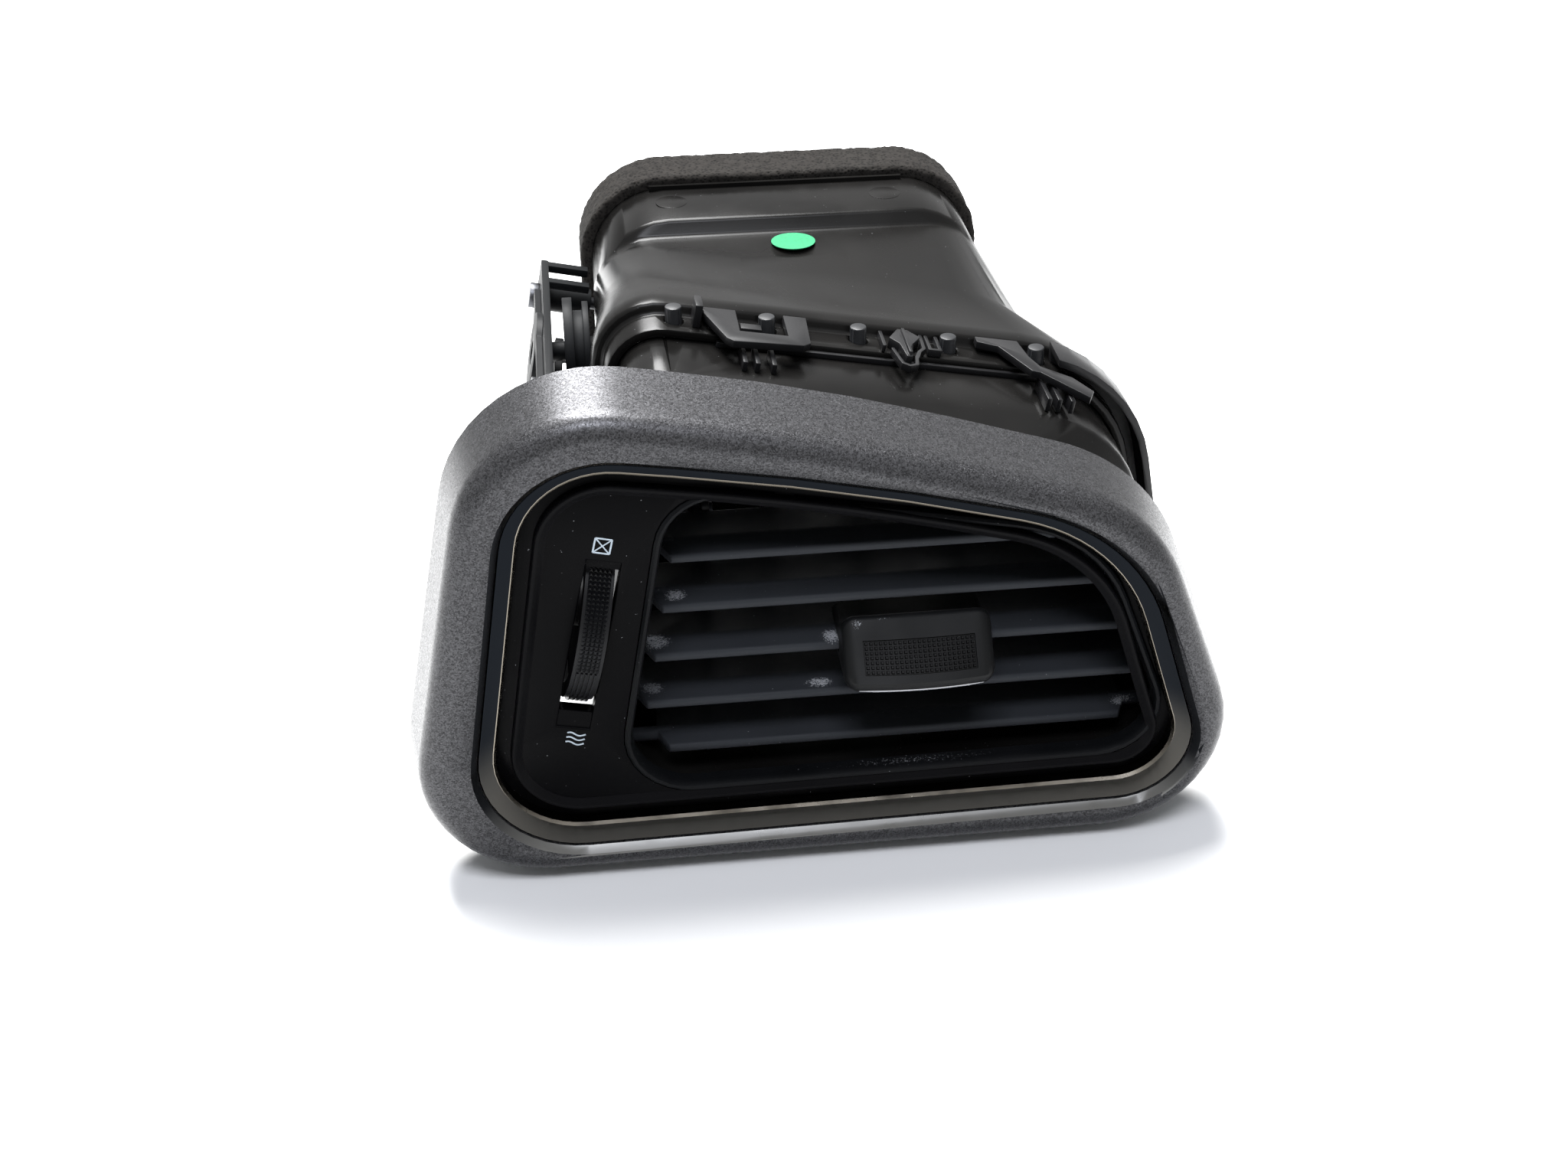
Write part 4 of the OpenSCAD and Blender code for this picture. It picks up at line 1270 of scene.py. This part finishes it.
@dataclass
class Mechanism:
    """Thumbwheel, rod, drum, damper and the plate that carries them."""

    bench: Bench
    # Worn black ABS: each pyramid of the rim catches one soft glint.
    wheel_plastic: MouldedPlastic = MouldedPlastic(
        "wheel_abs", "#08080a", "#0c0d0f", roughness=0.4, specular=0.15
    )
    # Glass-filled polypropylene: dull, a little grey.
    plate_plastic: MouldedPlastic = MouldedPlastic(
        "plate_pp", "#0e0f10", "#151617", roughness=0.5, specular=0.08
    )
    # The wheel's flat sides: a darker, shineless copy of the wheel's ABS, painted shade that keeps
    # the slot round the wheel black.
    side_shade_plastic: MouldedPlastic = MouldedPlastic(
        "wheel_side_painted_shade", "#060607", "#09090a", roughness=0.8, specular=0.0
    )
    # Zinc-plated steel: the only bare metal, with broken, spotty highlights.
    steel: SpottedSteel = SpottedSteel()

    def wheel(self, plastic: Material) -> None:
        """Stands a smooth-rimmed wheel in the toothed one's place and lays knurl and ribs on it."""
        shape = self.bench.merged("thumbwheel")
        axis = Matrix.Rotation(math.radians(WHEEL_LEAN), 4, "Y") @ Vector((1, 0, 0))
        centre = Vector(WHEEL_AT) * MM
        for vert in shape.verts:
            off = vert.co - centre
            radial = off - axis * off.dot(axis)
            if radial.length > (WHEEL_R - RIM_SKIN) * MM:
                vert.co -= radial * (1 - (WHEEL_R - RIM_CUT) * MM / radial.length)
        bmesh.ops.recalc_face_normals(shape, faces=shape.faces)
        body = self.bench.bodies["thumbwheel"]
        core = self.bench.add("wheel_core", shape, plastic, body)
        core.data.materials.append(self.side_shade_plastic.build())
        # The flat sides take the darker copy, painted shade in the slot.
        for face in core.data.polygons:
            if abs(face.normal.dot(axis)) > SIDE_SLOPE:
                face.material_index = 1
        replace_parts(core, "thumbwheel")
        bands = [knurl(first, last) for first, last in KNURL_SPANS]
        step = KNURL_W / RIM_COLUMNS
        width = step * RIB_SHARE
        for j in range(RIM_COLUMNS):
            across = -KNURL_W / 2 + step * (j + 0.5)
            bands.append(rib(LOW_RIBS, across, width, LOW_RIB_MM))
            bands.append(rib(HIGH_RIBS, across, width, HIGH_RIB_MM))
        whole = KNURL_W + CROSS_RIB_OVER
        bands.append(rib(CROSS_RIB, 0.0, whole, HIGH_RIB_MM))
        self.bench.add("wheel_knurl", joined(bands), plastic, body, "black_grain")

    def build(self) -> None:
        """Makes the mechanism at the left side."""
        self.wheel(self.wheel_plastic.build())
        plates = "side_plate link_rod damper_drum damper_flap"
        self.bench.ease_all(plates, Edge.CRISP, self.plate_plastic.build())
        self.bench.ease_all("screw_front screw_rear", Edge.CRISP, self.steel.build())


@dataclass(frozen=True)
class Lamp:
    """A soft rectangular lamp: its places and its size in metres, its power in watts."""

    name: str
    place: Point
    aim: Point
    size: Flat
    watts: float
    colour: str

    def hang(self) -> None:
        """Hangs the lamp in the scene."""
        data = bpy.data.lights.new(self.name, "AREA")
        data.shape = "RECTANGLE"
        data.size, data.size_y = self.size
        data.energy = self.watts
        data.color = linear(self.colour)[:3]
        lamp = stood(self.name, data)
        lamp.location = self.place
        way = Vector(self.aim) - Vector(self.place)
        lamp.rotation_euler = way.to_track_quat("-Z", "Y").to_euler()


@dataclass
class Studio:
    """Camera at the photograph's place, pale floor and soft lamps."""

    target: Point = (-25.0, -17.0, 18.0)
    azimuth: float = -7.0
    elevation: float = 34.0
    distance: float = 360.0
    lens: float = 43.68
    sensor_mm: float = 36.0
    clip_m: float = 0.01
    # Matt paint: an even white without shine.
    floor_paint: MattPaint = MattPaint()
    floor_m: float = 6.0
    fill_colour: str = "#e9edf2"
    fill: float = 0.3
    # The key behind and above draws the sheen on the roll, the weaker one lights the slats' tops.
    lamps: tuple[Lamp, ...] = (
        Lamp("key", (-0.12, 0.34, 0.78), (-0.05, 0.0, 0.0), (0.32, 0.62), 31.0, "#ffffff"),
        Lamp("front_fill", (-0.1, -0.42, 0.82), (0.0, -0.02, 0.0), (0.4, 0.25), 6.0, "#f3f6ff"),
    )

    def camera(self) -> None:
        """Sets the camera by its angle and its distance from the target."""
        data = bpy.data.cameras.new("camera")
        data.sensor_fit = "HORIZONTAL"
        data.sensor_width = self.sensor_mm
        data.lens = self.lens
        data.clip_start = self.clip_m
        camera = stood("camera", data)
        a, e = math.radians(self.azimuth), math.radians(self.elevation)
        back = Vector((math.sin(a) * math.cos(e), -math.cos(a) * math.cos(e), math.sin(e)))
        camera.location = (Vector(self.target) + back * self.distance) * MM
        camera.rotation_euler = (-back).to_track_quat("-Z", "Y").to_euler()
        bpy.context.scene.camera = camera

    def floor(self, level: float) -> None:
        """Lays the floor at a height, in metres."""
        shape = bmesh.new()
        bmesh.ops.create_grid(shape, x_segments=1, y_segments=1, size=self.floor_m)
        bmesh.ops.translate(shape, verts=shape.verts, vec=(0, 0, level))
        mesh = bpy.data.meshes.new("floor")
        shape.to_mesh(mesh)
        shape.free()
        mesh.materials.append(self.floor_paint.build())
        floor = stood("floor", mesh)
        floor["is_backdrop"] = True

    def world(self) -> None:
        """Lights the room evenly and shows it white to the camera and in mirrors."""
        world = bpy.data.worlds.new("studio")
        bpy.context.scene.world = world
        world.use_nodes = True
        tree = world.node_tree
        tree.nodes.clear()
        path = add_node(tree, "ShaderNodeLightPath").outputs
        seen = path["Is Camera Ray"]
        for ray in ("Is Glossy Ray", "Is Transmission Ray"):
            inputs = {0: seen, 1: path[ray]}
            joint = add_node(tree, "ShaderNodeMath", inputs, operation="ADD", use_clamp=True)
            seen = joint.outputs[0]
        backs = []
        for colour, strength in ((linear(self.fill_colour), self.fill), ((1, 1, 1, 1), 1.0)):
            inputs = {"Color": colour, "Strength": strength}
            backs.append(add_node(tree, "ShaderNodeBackground", inputs).outputs[0])
        mixed = add_node(tree, "ShaderNodeMixShader", {0: seen, 1: backs[0], 2: backs[1]})
        add_node(tree, "ShaderNodeOutputWorld", {"Surface": mixed.outputs[0]})

    def build(self, level: float) -> None:
        """Sets up the studio round the part, with its floor at a height in metres."""
        self.camera()
        self.floor(level)
        self.world()
        for lamp in self.lamps:
            lamp.hang()
        bpy.context.scene.view_settings.view_transform = "Standard"


def main() -> None:
    """Builds the vent's looks in order."""
    logging.basicConfig(level=logging.INFO, format="%(message)s")
    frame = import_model()
    cad_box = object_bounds()
    bench = Bench(frame)
    Studio().build(cad_box[0].z)
    for part in (Surround(bench), Louvre(bench), Grip(bench), Ducting(bench), Mechanism(bench)):
        part.build()
        LOG.info("%s done", type(part).__name__)


if __name__ == "__main__":
    main()
